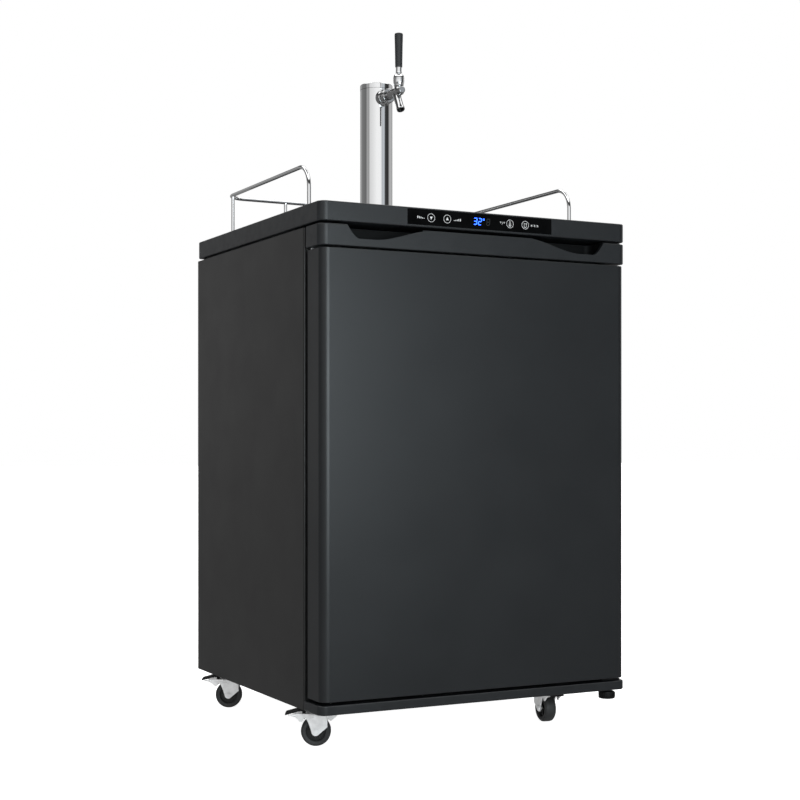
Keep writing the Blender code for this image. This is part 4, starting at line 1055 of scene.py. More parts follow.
def door_seal():
    """Bellows seal: three soft ribs round the door on a thin web."""
    seal = Span("door_gasket")
    low, depth = seal.low.y, seal.size.y
    bm = bmesh.new()
    for inset, width, part in ((0.0, 4.5, 1.0), (5.0, 6.0, 0.78), (11.5, 4.5, 1.0)):
        added(bm, hoop(grown(seal.x, -inset), grown(seal.z, -inset), width, (low, low + depth * part), 1.2))
    added(bm, hoop(seal.x, seal.z, 16, (low, low + 2.0)))
    piece("door_seal", bm, "seal", "door", ["door_gasket"])


# Draught tower

COLUMN = Span("tower_column")
TOWER_Y = COLUMN.mid.y
TOWER_AXIS = (0, TOWER_Y, 0)
TOWER_RADIUS = COLUMN.size.x / 2
TOWER_BORE = 30.0
TOWER_HOLE = 26.0


def tower_flange():
    """Turned foot of the tower on its rubber gasket, with four screws."""
    span, bore = Span("tower_flange"), TOWER_RADIUS + 0.2
    foot, height = span.low.z, span.size.z
    profile = [(48, 0), (48, 2.5), (46, 4.5), (38, 6), (36.5, 20), (35, height), (bore, height), (bore, 0)]
    bm = lathe(profile, "Z", TOWER_AXIS, 96, foot, 2.0, loop=True)
    piece("tower_flange_turned", bm, "chrome", nodes=["tower_flange"], crease=25)
    spots = arc((0, TOWER_Y), 42.0, 45, 315, 3)
    screws("tower_screws", [(x, y, foot + 4.6) for x, y in spots], (0, 0, 1), 2.9, 1.6)
    gasket = rectangle((TOWER_HOLE, 49.0), Span("tower_gasket").z)
    bm = lathe(gasket, "Z", TOWER_AXIS, 64, soft=0.5, loop=True)
    piece("tower_foot_gasket", bm, "seal", nodes=["tower_gasket"])


def tower_column():
    """Chrome tube with a hole for the shank."""
    (low, high), radius, bore = COLUMN.z, TOWER_RADIUS, TOWER_BORE
    profile = [(bore, low), (radius, low), (radius, high - 0.3), (radius - 0.3, high), (bore, high)]
    hole = rod("Y", (0, SHANK_Z), 11.8, (TOWER_Y - 45, TOWER_Y - 12))
    bm = cut(lathe(profile, "Z", TOWER_AXIS, 128, loop=True), hole)
    piece("tower_tube", bm, "chrome", nodes=["tower_column"], crease=25)


def tower_cap():
    """Flat cap that plugs the tower, a hair proud of the tube."""
    plug, rim, edge = TOWER_BORE - 0.4, TOWER_RADIUS + 0.3, 1.6
    seam, top = COLUMN.high.z + 0.25, Span("tower_cap").high.z
    profile = [(0, seam - 9), (plug, seam - 9), (plug, seam), (rim, seam), (rim, top - edge)]
    profile += arc((rim - edge, top - edge), edge, 10, 90, 6) + [(0, top)]
    piece("tower_top_cap", lathe(profile, "Z", TOWER_AXIS, 128), "chrome", nodes=["tower_cap"], crease=25)


# Faucet

SHANK = Span("shank")
SHANK_Z = SHANK.mid.z
SHANK_AXIS = (0, 0, SHANK_Z)
SHANK_CLEARANCE = 11.3
NUT = Span("coupling_nut")
LEVER_PIVOT = pivot_of("tap_lever_hinge")[0]
FAUCET_Y = LEVER_PIVOT.y
FAUCET_FRONT = -24.5
SPOUT_TILT = 29.4
SPOUT_TOP = (0, -0.5, SHANK_Z - 5.6)
SPOUT_END = -36.7


def shank():
    """Threaded shank that carries the faucet through the tower's wall."""
    low, high = SHANK.y
    bore, root, crest = 4.6, 10.2, 11.0
    profile = [(bore, low), (root, low)] + thread(low, high, 1.4, root, crest)
    profile += [(root, high), (bore, high)]
    piece("shank_thread", lathe(profile, "Y", SHANK_AXIS, 40, loop=True), "steel_turned", nodes=["shank"])


def shank_flange():
    """Outer flange of the shank, its back hollowed to the tower's roundness."""
    span = Span("shank_flange")
    radius, depth, bore = span.size.z / 2, span.size.y, SHANK_CLEARANCE
    profile = [(radius, depth), (radius, 3), (radius - 1.2, 1), (radius - 3.4, 0), (bore, 0), (bore, depth)]
    bm = lathe(profile, "Y", SHANK_AXIS, 72, span.low.y, 1.2, loop=True)
    bm = cut(bm, rod("Z", (0, TOWER_Y), TOWER_RADIUS + 0.1, about(SHANK_Z, 30), 128))
    piece("shank_escutcheon", bm, "cast_chrome", nodes=["shank_flange"], crease=25)


def coupling_nut():
    """Coupling nut with a turned groove and six spanner holes."""
    front, depth, radius = NUT.low.y, NUT.size.y, NUT.size.x / 2
    neck, bore, groove = 8.9, SHANK_CLEARANCE, radius - 0.7
    profile = [(neck, 0), (12.6, 0), (radius, 1.6), (radius, 4.2), (groove, 4.8), (groove, 5.6),
               (radius, 6.2), (radius, depth - 1.4), (radius - 1.2, depth), (bore, depth), (bore, 1.7),
               (neck, 1.7)]
    bm = lathe(profile, "Y", SHANK_AXIS, 72, front, 0.6, loop=True)
    holes = [moved(rod("Z", (0, front + 10.2), 1.9, (radius - 2.2, radius + 3), 20),
                   turned(30 + 60 * index, "Y", SHANK_AXIS)) for index in range(6)]
    piece("coupling_nut_turned", cut(bm, *holes), "cast_chrome", nodes=["coupling_nut"], crease=25)


def tilted(bm):
    """Moves a shape drawn down the Z axis to the spout's top and tilt."""
    return moved(bm, turned(-SPOUT_TILT, "X", SPOUT_TOP))


def faucet_body():
    """Cast barrel with its front seat, the neck under the bonnet and the angled spout."""
    joint, collar, end = NUT.low.y + 2.0, SHANK.low.y - GAP, SPOUT_END
    seat = [(0, 0), (5.6, 0), (6.6, 0.9), (6.8, 4.2), (7.4, 5.2), (8.5, 8), (9, 9), (9, 10.5), (8.5, 11.5)]
    barrel = raised(seat, FAUCET_FRONT) + [(8.5, joint), (11, joint), (11, collar), (0, collar)]
    barrel = lathe(barrel, "Y", SHANK_AXIS, 56, soft=0.8)
    top = LEVER_PIVOT.z - 15.1 - SHANK_Z
    neck = [(0, 0), (9.6, 0), (8.5, 6), (8.5, top - 1.2), (8.8, top), (0, top)]
    neck = lathe(neck, "Z", (0, FAUCET_Y, 0), 48, SHANK_Z, 1.5)
    spout = [(0, 4), (8.2, 4), (8.1, -4), (7.3, -9), (7.2, end + 7), (7.9, end + 5), (7.9, end + 0.6),
             (7.5, end), (0, end)]
    spout = tilted(lathe(spout, "Z", (0, 0, 0), 56, soft=1.6))
    bore = tilted(rod("Z", (0, 0), 6.6, (end - PAST, 1.3), 40))
    body = cut(join(barrel, neck, spout), bore)
    piece("faucet_casting", body, "cast_chrome", nodes=["faucet_body"], crease=30)
    # A black disc a little inside the spout's mouth: painted shade standing for the dark inside of the bore
    piece("spout_bore_shade", tilted(rod("Z", (0, 0), 6.5, (end + 5, end + 6), 40)), "black")


def bonnet():
    """Barrel-shaped ring over the lever's ball, with turned grooves and a grip band."""
    widest = Span("faucet_bonnet").size.x / 2 + 0.7
    low, ball, opening = -14.8, 8.1, 46.0
    skirt = [(8.8, 0), (9.3, 0.8), (9.3, 1.8), (8.7, 2.3), (9.5, 2.9), (widest, 7.5)]
    band = [(widest, -2.2), (widest - 0.7, -1.6), (widest - 0.7, -0.9), (widest, -0.3)]
    dome = arc((0, 0), widest, 4, 90 - opening, 8)
    socket = arc((0, 0), ball, 90 - opening, 0, 8) + [(ball, low)]
    bm = lathe(raised(skirt, low) + band + dome + socket, "Z", LEVER_PIVOT, 72, loop=True)
    piece("bonnet_turned", bm, "chrome", nodes=["faucet_bonnet"], crease=25)


def lever():
    """Ball lever with its ferrule, and the tapered handle screwed on it."""
    ball, tail, neck = 7.7, 1.1, 3.0
    low, high = degrees(asin(tail / ball)) - 90, 90 - degrees(asin(neck / ball))
    foot = SHANK_Z + 0.5 - LEVER_PIVOT.z
    profile = [(0, foot), (tail, foot)] + arc((0, 0), ball, low, high, 16)
    profile += [(neck, 10.2), (5.5, 10.2), (6.2, 10.8), (6.2, 12.2), (5.6, 12.6), (5.6, 20.6), (6.0, 21.0),
                (6.0, 21.3), (neck, 21.3), (neck, 31.0), (0, 31.0)]
    bm = lathe(profile, "Z", LEVER_PIVOT)
    piece("ball_lever", bm, "chrome", "tap_lever", ["faucet_lever"], crease=30)
    grip = [(0, 32.0), (3.3, 32.0), (3.3, 21.7), (6.3, 21.7), (6.8, 22.3), (6.9, 23.5), (7.2, 42.0),
            (7.6, 64.0), (8.1, 82.0), (8.0, 84.6), (7.4, 86.0), (6.2, 86.5), (0, 86.5)]
    bm = lathe(grip, "Z", LEVER_PIVOT, 56, soft=0.9)
    piece("tap_grip", bm, "handle", "tap_lever", ["tap_handle"], crease=40)


def valve_shaft():
    """Turned valve shaft with a groove for its seal and a notch for the lever's tail."""
    span = Span("faucet_valve_shaft")
    depth = span.size.y
    profile = [(0, 0), (2.9, 0), (3.6, 0.7), (3.6, 4), (3.0, 4.6), (3.0, 6), (3.6, 6.6), (3.6, depth - 0.7),
               (2.9, depth), (0, depth)]
    notch = block((-5, 5), about(FAUCET_Y, 2.0), (SHANK_Z - 0.2, SHANK_Z + 5))
    bm = cut(lathe(profile, "Y", SHANK_AXIS, 32, span.low.y), notch)
    piece("valve_shaft_turned", bm, "steel_turned", "valve", ["faucet_valve_shaft"])


# Worktop fittings

def guard_rail():
    """Bent chrome rod round the back of the worktop; its ends and four posts stand on it."""
    span = Span("guard_rail")
    radius, bend, corner, back_post = 3.5, 40.0, 36.0, 142.0
    half = span.high.x - radius
    front, rear = grown(span.y, -radius)
    foot, z = span.low.z, span.high.z - radius
    left = [(-half, front, foot)]
    left += [(-half, v, w) for v, w in arc((front + bend, z - bend), bend, 180, 90, 16)]
    left += [(u, v, z) for u, v in arc((corner - half, rear - corner), corner, 180, 90, 16)]
    bm = tube(left + [(-u, v, w) for u, v, w in reversed(left)], radius, 24)
    thin, wide = radius - 0.25, radius + 0.1
    post = [(0, foot), (thin, foot), (thin, z - 4), (wide, z - 1.5), (0, z - 1.5)]
    for x, y in ((half, rear - corner), (back_post, rear)):
        for side in SIDES:
            lathe(post, "Z", (side * x, y, 0), 24, into=bm)
    piece("rail_rod", bm, "chrome", nodes=["guard_rail"], crease=40)


def drip_tray():
    """Folded steel tray: a thin-walled pan with softened edges."""
    span = Span("drip_tray")
    wall, corner = 1.2, 12.0
    bm = prism(rounded(span.x, span.y, corner), "Z", span.z, 0.5)
    inner = rounded(grown(span.x, -wall), grown(span.y, -wall), corner - wall)
    hollow = prism(inner, "Z", (span.low.z + wall, span.high.z + PAST))
    piece("tray_pan", cut(bm, hollow), "steel", "tray", ["drip_tray"])


def drip_grate():
    """Slotted grate on four legs."""
    span = Span("drip_grate")
    plate = (span.high.z - 2.0, span.high.z)
    bm = prism(rounded(span.x, span.y, 10), "Z", plate, 0.4, 2)
    slots = [prism(rounded(about(20.0 * number, 3.5), grown(span.y, -14), 3.4, 6), "Z", grown(plate, PAST))
             for number in range(-6, 7)]
    bm = cut(bm, *slots)
    top = plate[0] + 0.3 - span.low.z
    leg = [(0, 0), (2.4, 0), (3.0, 0.8), (3.0, top), (0, top)]
    for x in (-130.0, 130.0):
        for y in grown(span.y, -7):
            lathe(leg, "Z", (x, y, 0), 20, span.low.z, into=bm)
    piece("grate_plate", bm, "steel", "grate", ["drip_grate"])


# Casters and the levelling foot

CASTERS = ("front_left", "rear_left", "front_right", "rear_right")
TRAIL = 11.0
WHEEL_RADIUS = 25.5
AXLE = (-TRAIL, 0, WHEEL_RADIUS)
FORK = (12.5, 14.5)  # the inner and outer face of a yoke's cheek


def caster_frame(tag):
    """The matrix from a caster's own frame (swivel at the origin, pedal towards -X) to the object's."""
    swivel = pivot_of("swivel_" + tag)[0]
    direction = pivot_of("roll_" + tag)[1]
    return turned(degrees(atan2(-direction.x, direction.y)), "Z", (swivel.x, swivel.y, 0))


def cheek_outline():
    """Side view of a yoke's cheek: front edge, axle boss, arch over the tyre and brake arm."""
    boss = arc((-TRAIL, WHEEL_RADIUS), 7.0, -38, -168, 12)
    arch = [(-19.2, 29.0), (-21.5, 36.0), (-25.0, 44.0), (-27.6, 47.8), (-29.6, 48.6), (-31.0, 46.6),
            (-32.4, 43.4), (-35.0, 41.8), (-38.2, 43.2), (-42.5, 47.2), (-48.0, 50.6), (-57.0, 52.7)]
    arm = [tuple(point) for point in curve(arch, 3)]
    return [(9.0, 56.0), (9.0, 33.5)] + boss + arm + [(-58.4, 53.6), (-57.6, 54.6), (-42.0, 56.0)]


def caster_yoke(tag, matrix):
    """Pressed zinc fork with its crown, gusset, ball race, stem, axle bolt and rivets."""
    outer = FORK[1]
    bm = bmesh.new()
    for side in SIDES:
        prism(cheek_outline(), "Y", on_side(side, *FORK), 0.5, 2, into=bm)
    block((-22.0, 9.0), (-outer, outer), (53.5, 56.0), 0.8, into=bm)
    block((7.0, 9.0), (-outer, outer), (46.0, 56.0), 0.8, into=bm)
    gusset = [(8.5, 56.0), (26.0, 56.0), (26.0, 53.0), (24.0, 49.5), (14.5, 41.5), (8.5, 45.5)]
    prism(gusset, "Y", (-1.0, 1.0), 0.4, into=bm)
    race = [(0, 55.8), (13.0, 55.8), (16.2, 56.6), (17.0, 58.0), (16.0, 59.4), (14.6, 59.8), (15.6, 60.4),
            (16.8, 61.6), (16.4, 63.2), (14.5, 64.0), (0, 64.0)]
    lathe(race, "Z", (0, 0, 0), into=bm)
    rod("Z", (0, 0), 4.0, (63.0, 68.2), 24, into=bm)
    rod("Y", (-TRAIL, WHEEL_RADIUS), 3.4, (-14.6, 14.6), 24, into=bm)
    washer = [(0, 14.4), (5.6, 14.4), (5.6, 15.0), (5.2, 15.3), (0, 15.3)]
    rivet = [(0, 14.2), (2.0, 14.2), (1.8, 14.9), (0.9, 15.3), (0, 15.4)]
    for side in SIDES:
        added(bm, lathe(washer, "Z", (0, 0, 0), 32), facing((0, side, 0), AXLE))
        added(bm, hexagon(4.2, (15.2, 17.0), 0.45), facing((0, side, 0), AXLE))
    for x, z in ((-15.5, 49.5), (-46.0, 53.4)):
        for side in SIDES:
            added(bm, lathe(rivet, "Z", (0, 0, 0), 20), facing((0, side, 0), (x, 0, z)))
    piece("caster_fork_" + tag, moved(bm, matrix), "zinc", "caster_" + tag, ["caster_yoke_" + tag])


def mirrored(half):
    """A closed profile from its half above the middle."""
    return half + [(radius, -height) for radius, height in reversed(half)]


def caster_wheel(tag, matrix):
    """Hard rubber tyre with a raised side ring, on a dark spoked hub."""
    tyre = [(16.6, 7.0), (17.0, 9.8), (17.8, 10.5), (21.8, 11.0), (22.6, 10.4), (23.6, 9.6), (24.9, 8.0),
            (25.45, 5.0), (25.5, 1.2)]
    bm = moved(lathe(mirrored(tyre), "Y", AXLE, 80, loop=True), matrix)
    piece("caster_tyre_" + tag, bm, "tyre", "wheel_" + tag, ["caster_wheel_" + tag], crease=40)
    hub = [(3.9, 8.8), (6.6, 8.8), (7.4, 8.2), (7.6, 6.2), (15.2, 6.2), (15.8, 8.6), (16.4, 9.0),
           (16.9, 8.8)]
    bm = lathe(mirrored(hub), "Y", AXLE, 64, loop=True)
    for index in range(6):
        for z in ((6.0, 8.4), (-8.4, -6.0)):
            spoke = block((7.0, 15.6), (-0.8, 0.8), z, 0.3)
            added(bm, spoke, turned(90, "X", AXLE) @ turned(60 * index, "Z"))
    piece("caster_hub_" + tag, moved(bm, matrix), "hub", "wheel_" + tag)


def caster_brake(tag, matrix):
    """Ribbed foot pedal over the wheel, with the shoe that presses on the tyre."""
    outline = [(-24.0, 60.3), (-24.0, 63.2), (-25.0, 63.8), (-36.0, 63.8), (-44.0, 62.2), (-62.2, 57.1),
               (-63.0, 56.2), (-63.0, 53.6), (-62.2, 53.4), (-44.0, 58.5), (-36.0, 60.0)]
    bm = prism(outline, "Y", (-12.0, 12.0), 0.7)
    slope, step = 0.28, 4.2
    for index in range(4):
        z = 61.5 - slope * step * index
        block(about(-46.5 - step * index, 0.8), (-10.0, 10.0), (z - 0.4, z + 0.55), 0.3, into=bm)
    block((-34.0, -29.0), (-9.0, 9.0), (46.0, 61.5), 1.0, into=bm)
    piece("caster_pedal_" + tag, moved(bm, matrix), "black", "brake_" + tag, ["caster_brake_" + tag])


def casters():
    for tag in CASTERS:
        matrix = caster_frame(tag)
        caster_yoke(tag, matrix)
        caster_wheel(tag, matrix)
        caster_brake(tag, matrix)


def levelling_foot():
    """Foot with a fluted grip, on a threaded stud."""
    span = Span("levelling_foot")
    centre, low, stud, top = (*span.mid.xy, 0), span.low.z, span.low.z + 14, span.low.z + 31
    grip = [(0, 0), (13.8, 0), (15.0, 1.2), (15.2, 3.5), (14.2, 4.3), (14.2, 11.2), (13.2, 12.8),
            (9, 14), (5, 14)]
    profile = raised(grip, low) + thread(stud, top, 1.5, 4.4, 5.0) + [(4.2, top), (0, top)]
    bm = lathe(profile, "Z", centre, 56)
    fluted(bm, 24, centre, (13.6, 15.3), 0.9, (low + 4.0, low + 11.4), 0.4)
    piece("foot_moulding", bm, "black", "foot", ["levelling_foot"], crease=40)


# Interior

LINER = Span("inner_liner")


def inner_liner():
    """Formed lining: one stepped bowl with generous inner corners, open at the front."""
    wall, soft, mouth = 2.0, 11.0, 30.0
    step_y, step_z = 184.5, 315.5
    (front, rear), (low, high) = LINER.y, LINER.z
    outer = [(front, low), (step_y, low), (step_y, step_z), (rear, step_z), (rear, high), (front, high)]
    inner = [(front - mouth, low + wall), (step_y - wall, low + wall), (step_y - wall, step_z + wall),
             (rear - wall, step_z + wall), (rear - wall, high - wall), (front - mouth, high - wall)]
    hollow = prism(inner, "X", grown(LINER.x, -wall), soft, 6)
    hole = rod("Z", (0, TOWER_Y), TOWER_HOLE, (high - 20, high + 10))
    piece("liner_shell", cut(prism(outer, "X", LINER.x), hollow, hole), "liner", nodes=["inner_liner"])


def evaporator():
    """Roll-bond cold plate: a thin sheet with one raised channel winding over it."""
    span = Span("evaporator_plate")
    face, flatness = span.high.y - 1.4, 0.48
    bm = prism(rounded(span.x, span.z, 10, 6), "Y", (face, span.high.y), 0.4, 2)
    channel = tube(winding(span.high.x - 34, span.low.z + 25, 0, 34.0, 11, 10), 3.2, 12)
    added(bm, channel, Matrix.Translation((0, face, 0)) @ Matrix.Diagonal((1, flatness, 1, 1)))
    piece("cold_plate", bm, "cold", nodes=["evaporator_plate"])
    corners = [(x, face, z) for x in grown(span.x, -10) for z in grown(span.z, -10)]
    screws("cold_plate_screws", corners, (0, -1, 0), 4.0, 1.6)


def fan():
    """Square fan frame with a flared throat, struts, corner screws and five twisted blades."""
    span = Span("fan_housing")
    front, rear = span.y
    centre = (0, 0, span.mid.z)
    flare, bore, hub = 47.5, 44.0, 14.0
    bm = prism(rounded(span.x, span.z, 7, 6), "Y", span.y, 0.7, 2)
    throat = [(0, front - PAST), (flare, front - PAST), (flare, front), (44.6, front + 2.2),
              (bore, front + 5), (bore, rear + PAST), (0, rear + PAST)]
    bm = cut(bm, lathe(throat, "Y", centre, 72))
    for angle in (20, 110, 200, 290):
        strut = block((10, 45), (rear - 3, rear - 0.4), (-2.2, 2.2), 0.6)
        added(bm, strut, turned(angle, "Y", centre))
    seat = [(0, -3), (hub - 0.6, -3), (hub, -2.4), (hub, -0.4), (0, -0.4)]
    lathe(seat, "Y", centre, 40, rear, into=bm)
    piece("fan_frame", bm, "black", nodes=["fan_housing"])
    corners = four_corners(43.5, 43.5, (0, span.mid.z))
    screws("fan_screws", [(x, front + 0.3, z) for x, z in corners], (0, -1, 0), 3.6, 1.5)

    rotor = Span("fan_rotor")
    depth = rotor.size.y - 0.4
    nose = [(0, 0), (8.5, 0), (12, 0.9), (13, 2.8), (13, depth), (0, depth)]
    bm = lathe(nose, "Y", (0, 0, 0), base=rotor.low.y)
    for number in range(5):
        added(bm, fan_blade(rotor.mid.y), turned(72 * number, "Y"))
    piece("fan_blades", moved(bm, Matrix.Translation(centre)), "black", "fan", ["fan_rotor"])


def fan_blade(middle):
    """One blade along +X: its chord widens and flattens towards the tip."""
    root, reach, rows = 11.5, 29.5, 8
    bm = bmesh.new()
    section = arc((0, -9), 10.5, 55, 125, 8) + arc((0, -9), 9.3, 125, 55, 8)
    rings = []
    for row in range(rows + 1):
        t = row / rows
        pitch = radians(58 - 22 * t)
        ring_points = []
        for u, v in section:
            u, v = u / 6.0 * (6.2 + 5.5 * t), v * 0.7
            y = middle + u * sin(pitch) * 0.62 + v * cos(pitch)
            ring_points.append((root + reach * t, y, u * cos(pitch) - v * sin(pitch)))
        rings.append([bm.verts.new(point) for point in ring_points])
    skin(bm, rings)
    for tip in (rings[0], rings[-1]):
        bm.faces.new(tip)
    bmesh.ops.recalc_face_normals(bm, faces=bm.faces)
    return bm


def keg_mat():
    """Rubber mat with a raised border and round-topped ribs."""
    span = Span("keg_mat")
    (left, right), (front, rear), (low, high) = span.x, span.y, span.z
    bar = 7.0
    bm = prism(rounded(span.x, span.y, 10, 6), "Z", (low, high - 1.4), 0.4, 2)
    raised_z = (low + 1, high)
    for y, x in (((front, front + bar), (left, left + bar)), ((rear - bar, rear), (right - bar, right))):
        block(grown(span.x, -8), y, raised_z, 0.6, into=bm)
        block(x, grown(span.y, -8), raised_z, 0.6, into=bm)
    for rib in spaced(left + 18, right - 12, 10.0):
        block(about(rib, 1.6), grown(span.y, -14), (low + 1, high - 0.1), 0.9, into=bm)
    piece("mat_moulding", bm, "mat", nodes=["keg_mat"])


# Cooling system at the back

def rear_cover():
    """Folded cover over the compressor bay with two rows of rounded vents and sunk screws."""
    span = Span("rear_cover")
    rear = span.high.y
    shell = block(span.x, span.y, span.z, 1.6, 3)
    hollow = block(grown(span.x, -SHEET), (span.low.y - 8, rear - SHEET), grown(span.z, -SHEET))
    vents = bmesh.new()
    for low in (105.0, 195.0):
        for number in range(-5, 6):
            outline = rounded(about(46.0 * number, 3), (low, low + 70), 2.9, 6)
            prism(outline, "Y", about(rear, PAST), into=vents)
    seats = [(side * x, z) for side in SIDES for x in (95.0, span.high.x - 12) for z in grown(span.z, -14)]
    sinks = bmesh.new()
    for x, z in seats:
        lathe([(0, -1.0), (4.8, -1.0), (5.4, 2.0), (0, 2.0)], "Y", (x, rear, z), 32, into=sinks)
    piece("cover_sheet", cut(shell, hollow, vents, sinks), "back", nodes=["rear_cover"])
    screws("cover_screws", [(x, rear - 1.05, z) for x, z in seats], (0, 1, 0), 4.2, 0.95)


def condenser():
    """Wire-and-tube condenser: the winding tube, upright wires on both sides and four brackets."""
    span, back_face = Span("condenser_coil"), Span("back_panel").high.y + 0.5
    radius, pitch, passes, half, bend = 2.4, 46.0, 11, 235.0, 9.0
    y, low = span.mid.y, span.low.z + radius
    top = low + pitch * (passes - 1)
    end = arc((0, y - bend), bend, 180, 90, 8)
    path = [(-half - bend, back_face, low)] + [(u - half, v, low) for u, v in end]
    path += winding(half, low, y, pitch, passes, 12)
    path += [(half - u, v, top) for u, v in reversed(end)] + [(half + bend, back_face, top)]
    bm = tube(path, radius, 12)
    for index, x in enumerate(spaced(4 - half, half - 3, 7.0)):
        wire_y = y + (2.9 if index % 2 else -2.9)
        tube([(x, wire_y, low - 7), (x, wire_y, top + 7)], 0.75, 6, into=bm)
    rear, front = back_face - 0.2, y - 4.6
    for side in SIDES:
        for height in (1.5, 8.5):
            z = low + pitch * height
            strap = filleted([(rear, z - 22), (rear, z - 6), (front, z - 6), (front, z + 20)], 2.0)
            prism(ribbon(strap, 1.2), "X", on_side(side, half - 8, half - 26), into=bm)
    piece("condenser_tube", bm, "enamel", nodes=["condenser_coil"], crease=50)


def compressor():
    """Oval pot with a welded seam, on a plate with rubber feet, a terminal cover and copper stubs."""
    foot = Span("compressor").low.z
    x, y, stretch = 110.0, 262.0, 1.45
    pot = [(0, 1), (46, 1), (51, 9), (52, 58), (52, 66), (51.6, 67), (50.4, 68), (50.8, 96), (46, 126),
           (34, 143), (16, 151), (0, 152.8)]
    bm = lathe(softened(raised(pot, foot), 9.0, 4), "Z", (0, 0, 0), 72)
    moved(bm, Matrix.Translation((x, y, 0)) @ Matrix.Diagonal((stretch, 1, 1, 1)))
    prism(rounded(about(x, 95), about(y, 45), 14, 6), "Z", (foot, foot + 3), 0.6, 2, into=bm)
    block((x + 60, x + 92), about(y, 22), (foot + 41, foot + 96), 3.0, 4, into=bm)
    piece("compressor_pot", bm, "enamel", nodes=["compressor"])
    bm = bmesh.new()
    grommet = [(0, 3), (8, 3), (9, 4), (9, 8), (8, 9), (0, 9)]
    for foot_x, foot_y in four_corners(80, 34, (x, y)):
        lathe(grommet, "Z", (foot_x, foot_y, 0), 24, foot, into=bm)
    piece("compressor_feet", bm, "seal")
    bm = bmesh.new()
    for pipe_x, side in ((x - 62, y - 14), (x - 58, y + 4), (x - 50, y + 20)):
        bend = [(pipe_x, side, foot + 70), (pipe_x - 12, side, foot + 74), (pipe_x - 18, side, foot + 90),
                (pipe_x - 18, side, foot + 128)]
        tube(curve(bend, 6), 3.0, 12, into=bm)
    piece("compressor_pipes", bm, "copper", crease=50)


# Draught system

BOTTLE = Span("co2_cylinder")
KNOB = Span("co2_valve_knob")
BOTTLE_X = BOTTLE.mid.x
BOTTLE_AXIS = (BOTTLE_X, KNOB.mid.y, 0)
VALVE_Z = 492.0
REGULATOR_REAR = Span("co2_regulator").high.y
GAUGE_Y = REGULATOR_REAR - 26.0
BARB_Y = 45.0
COUPLER = Span("coupler_body")
COUPLER_X = COUPLER.mid.x
COUPLER_Y = COUPLER.low.y + 27.0
INLET_Z = 160.0
HOSE_RADIUS = 4.8


def co2_cylinder():
    """Spun aluminium gas cylinder with a brass valve on its neck."""
    low, radius, y = BOTTLE.low.z, BOTTLE.size.x / 2, BOTTLE_AXIS[1]
    shoulder = 42
    heel = [(0, 3), (30, 1), (radius - 8, 0), (radius - 2, 2.5), (radius, 9)]
    profile = raised(heel, low) + arc((radius - shoulder, 420), shoulder, 0, 78, 14)
    profile += [(16, 464), (14, 468), (14, 475), (12.5, 478), (0, 478)]
    piece("gas_bottle", lathe(profile, "Z", BOTTLE_AXIS, 96), "bottle", nodes=["co2_cylinder"])
    stem = [(0, 477), (13.2, 477), (13.2, 480), (10.5, 481.5), (10.5, 499), (9, 500.5), (7, 500.5),
            (7, 503), (0, 503)]
    bm = lathe(stem, "Z", BOTTLE_AXIS, 40, soft=0.6)
    outlet = [(0, -24), (6, -24), (7, -23), (7, -4), (0, -4)]
    lathe(outlet, "Y", (BOTTLE_X, 0, VALVE_Z), 32, y, into=bm)
    piece("gas_valve", bm, "brass")


def valve_knob():
    """Fluted knob of the cylinder's valve."""
    low, top = KNOB.z
    height = KNOB.size.z
    grip = [(0, 0), (6, 0), (6, 4), (15.5, 4), (16.6, 5.5), (16.6, height - 3), (15, height - 0.8),
            (11, height - 0.2), (9, height - 1.0), (0, height - 1.2)]
    bm = lathe(grip, "Z", BOTTLE_AXIS, 72, low, 0.8)
    fluted(bm, 16, BOTTLE_AXIS, (15.2, 17.9), 1.5, (low + 5.5, top - 3.0), 0.9)
    piece("valve_knob", bm, "black", "co2_knob", ["co2_valve_knob"])


def gauge(name, centre, radius, needle_angle):
    """Pressure gauge facing forward: brass case, scale with ticks and a band, needle and lens."""
    x, y, z = centre
    axis, front, depth = (x, 0, z), y - 8, 14
    scale, face = 25, (front + 2.0, front + 2.25)
    case = [(0, depth), (radius - 2, depth), (radius - 0.6, depth - 1.5), (radius - 0.6, 3), (radius, 2.4),
            (radius, 0.6), (radius - 0.7, 0), (radius - 2.2, 0), (radius - 2.4, 2.6), (0, 2.6)]
    piece(name + "_case", lathe(case, "Y", axis, 64, front), "brass")
    dial = [(0, 2.5), (radius - 2.5, 2.5), (radius - 2.5, 2.2), (0, 2.2)]
    piece(name + "_dial", lathe(dial, "Y", axis, 64, front), "paper")
    marks = bmesh.new()
    for index in range(scale):
        length = 2.8 if index % 4 == 0 else 1.4
        tick = block((radius - 3.2 - length, radius - 3.2), face, (-0.18, 0.18))
        added(marks, tick, turned(index * 11.25 - 45, "Y", axis))
    tail, tip = -5.0, radius - 4.4
    needle = [(tail, -0.7), (tip, -0.12), (tip, 0.12), (tail, 0.7)]
    added(marks, prism(needle, "Y", (front + 1.5, front + 1.8)), turned(needle_angle, "Y", axis))
    lathe([(0, 1.2), (1.6, 1.2), (1.8, 2.2), (0, 2.2)], "Y", axis, 20, front, into=marks)
    piece(name + "_marks", marks, "black")
    band = arc((x, z), radius - 6.4, 10, -40, 16) + arc((x, z), radius - 7.6, -40, 10, 16)
    piece(name + "_band", prism(band, "Y", face), "gas_hose")
    glass = [(0, 0.5), (radius - 2.3, 0.8), (radius - 2.3, 1.1), (0, 0.8)]
    piece(name + "_lens", lathe(glass, "Y", axis, 64, front), "lens")


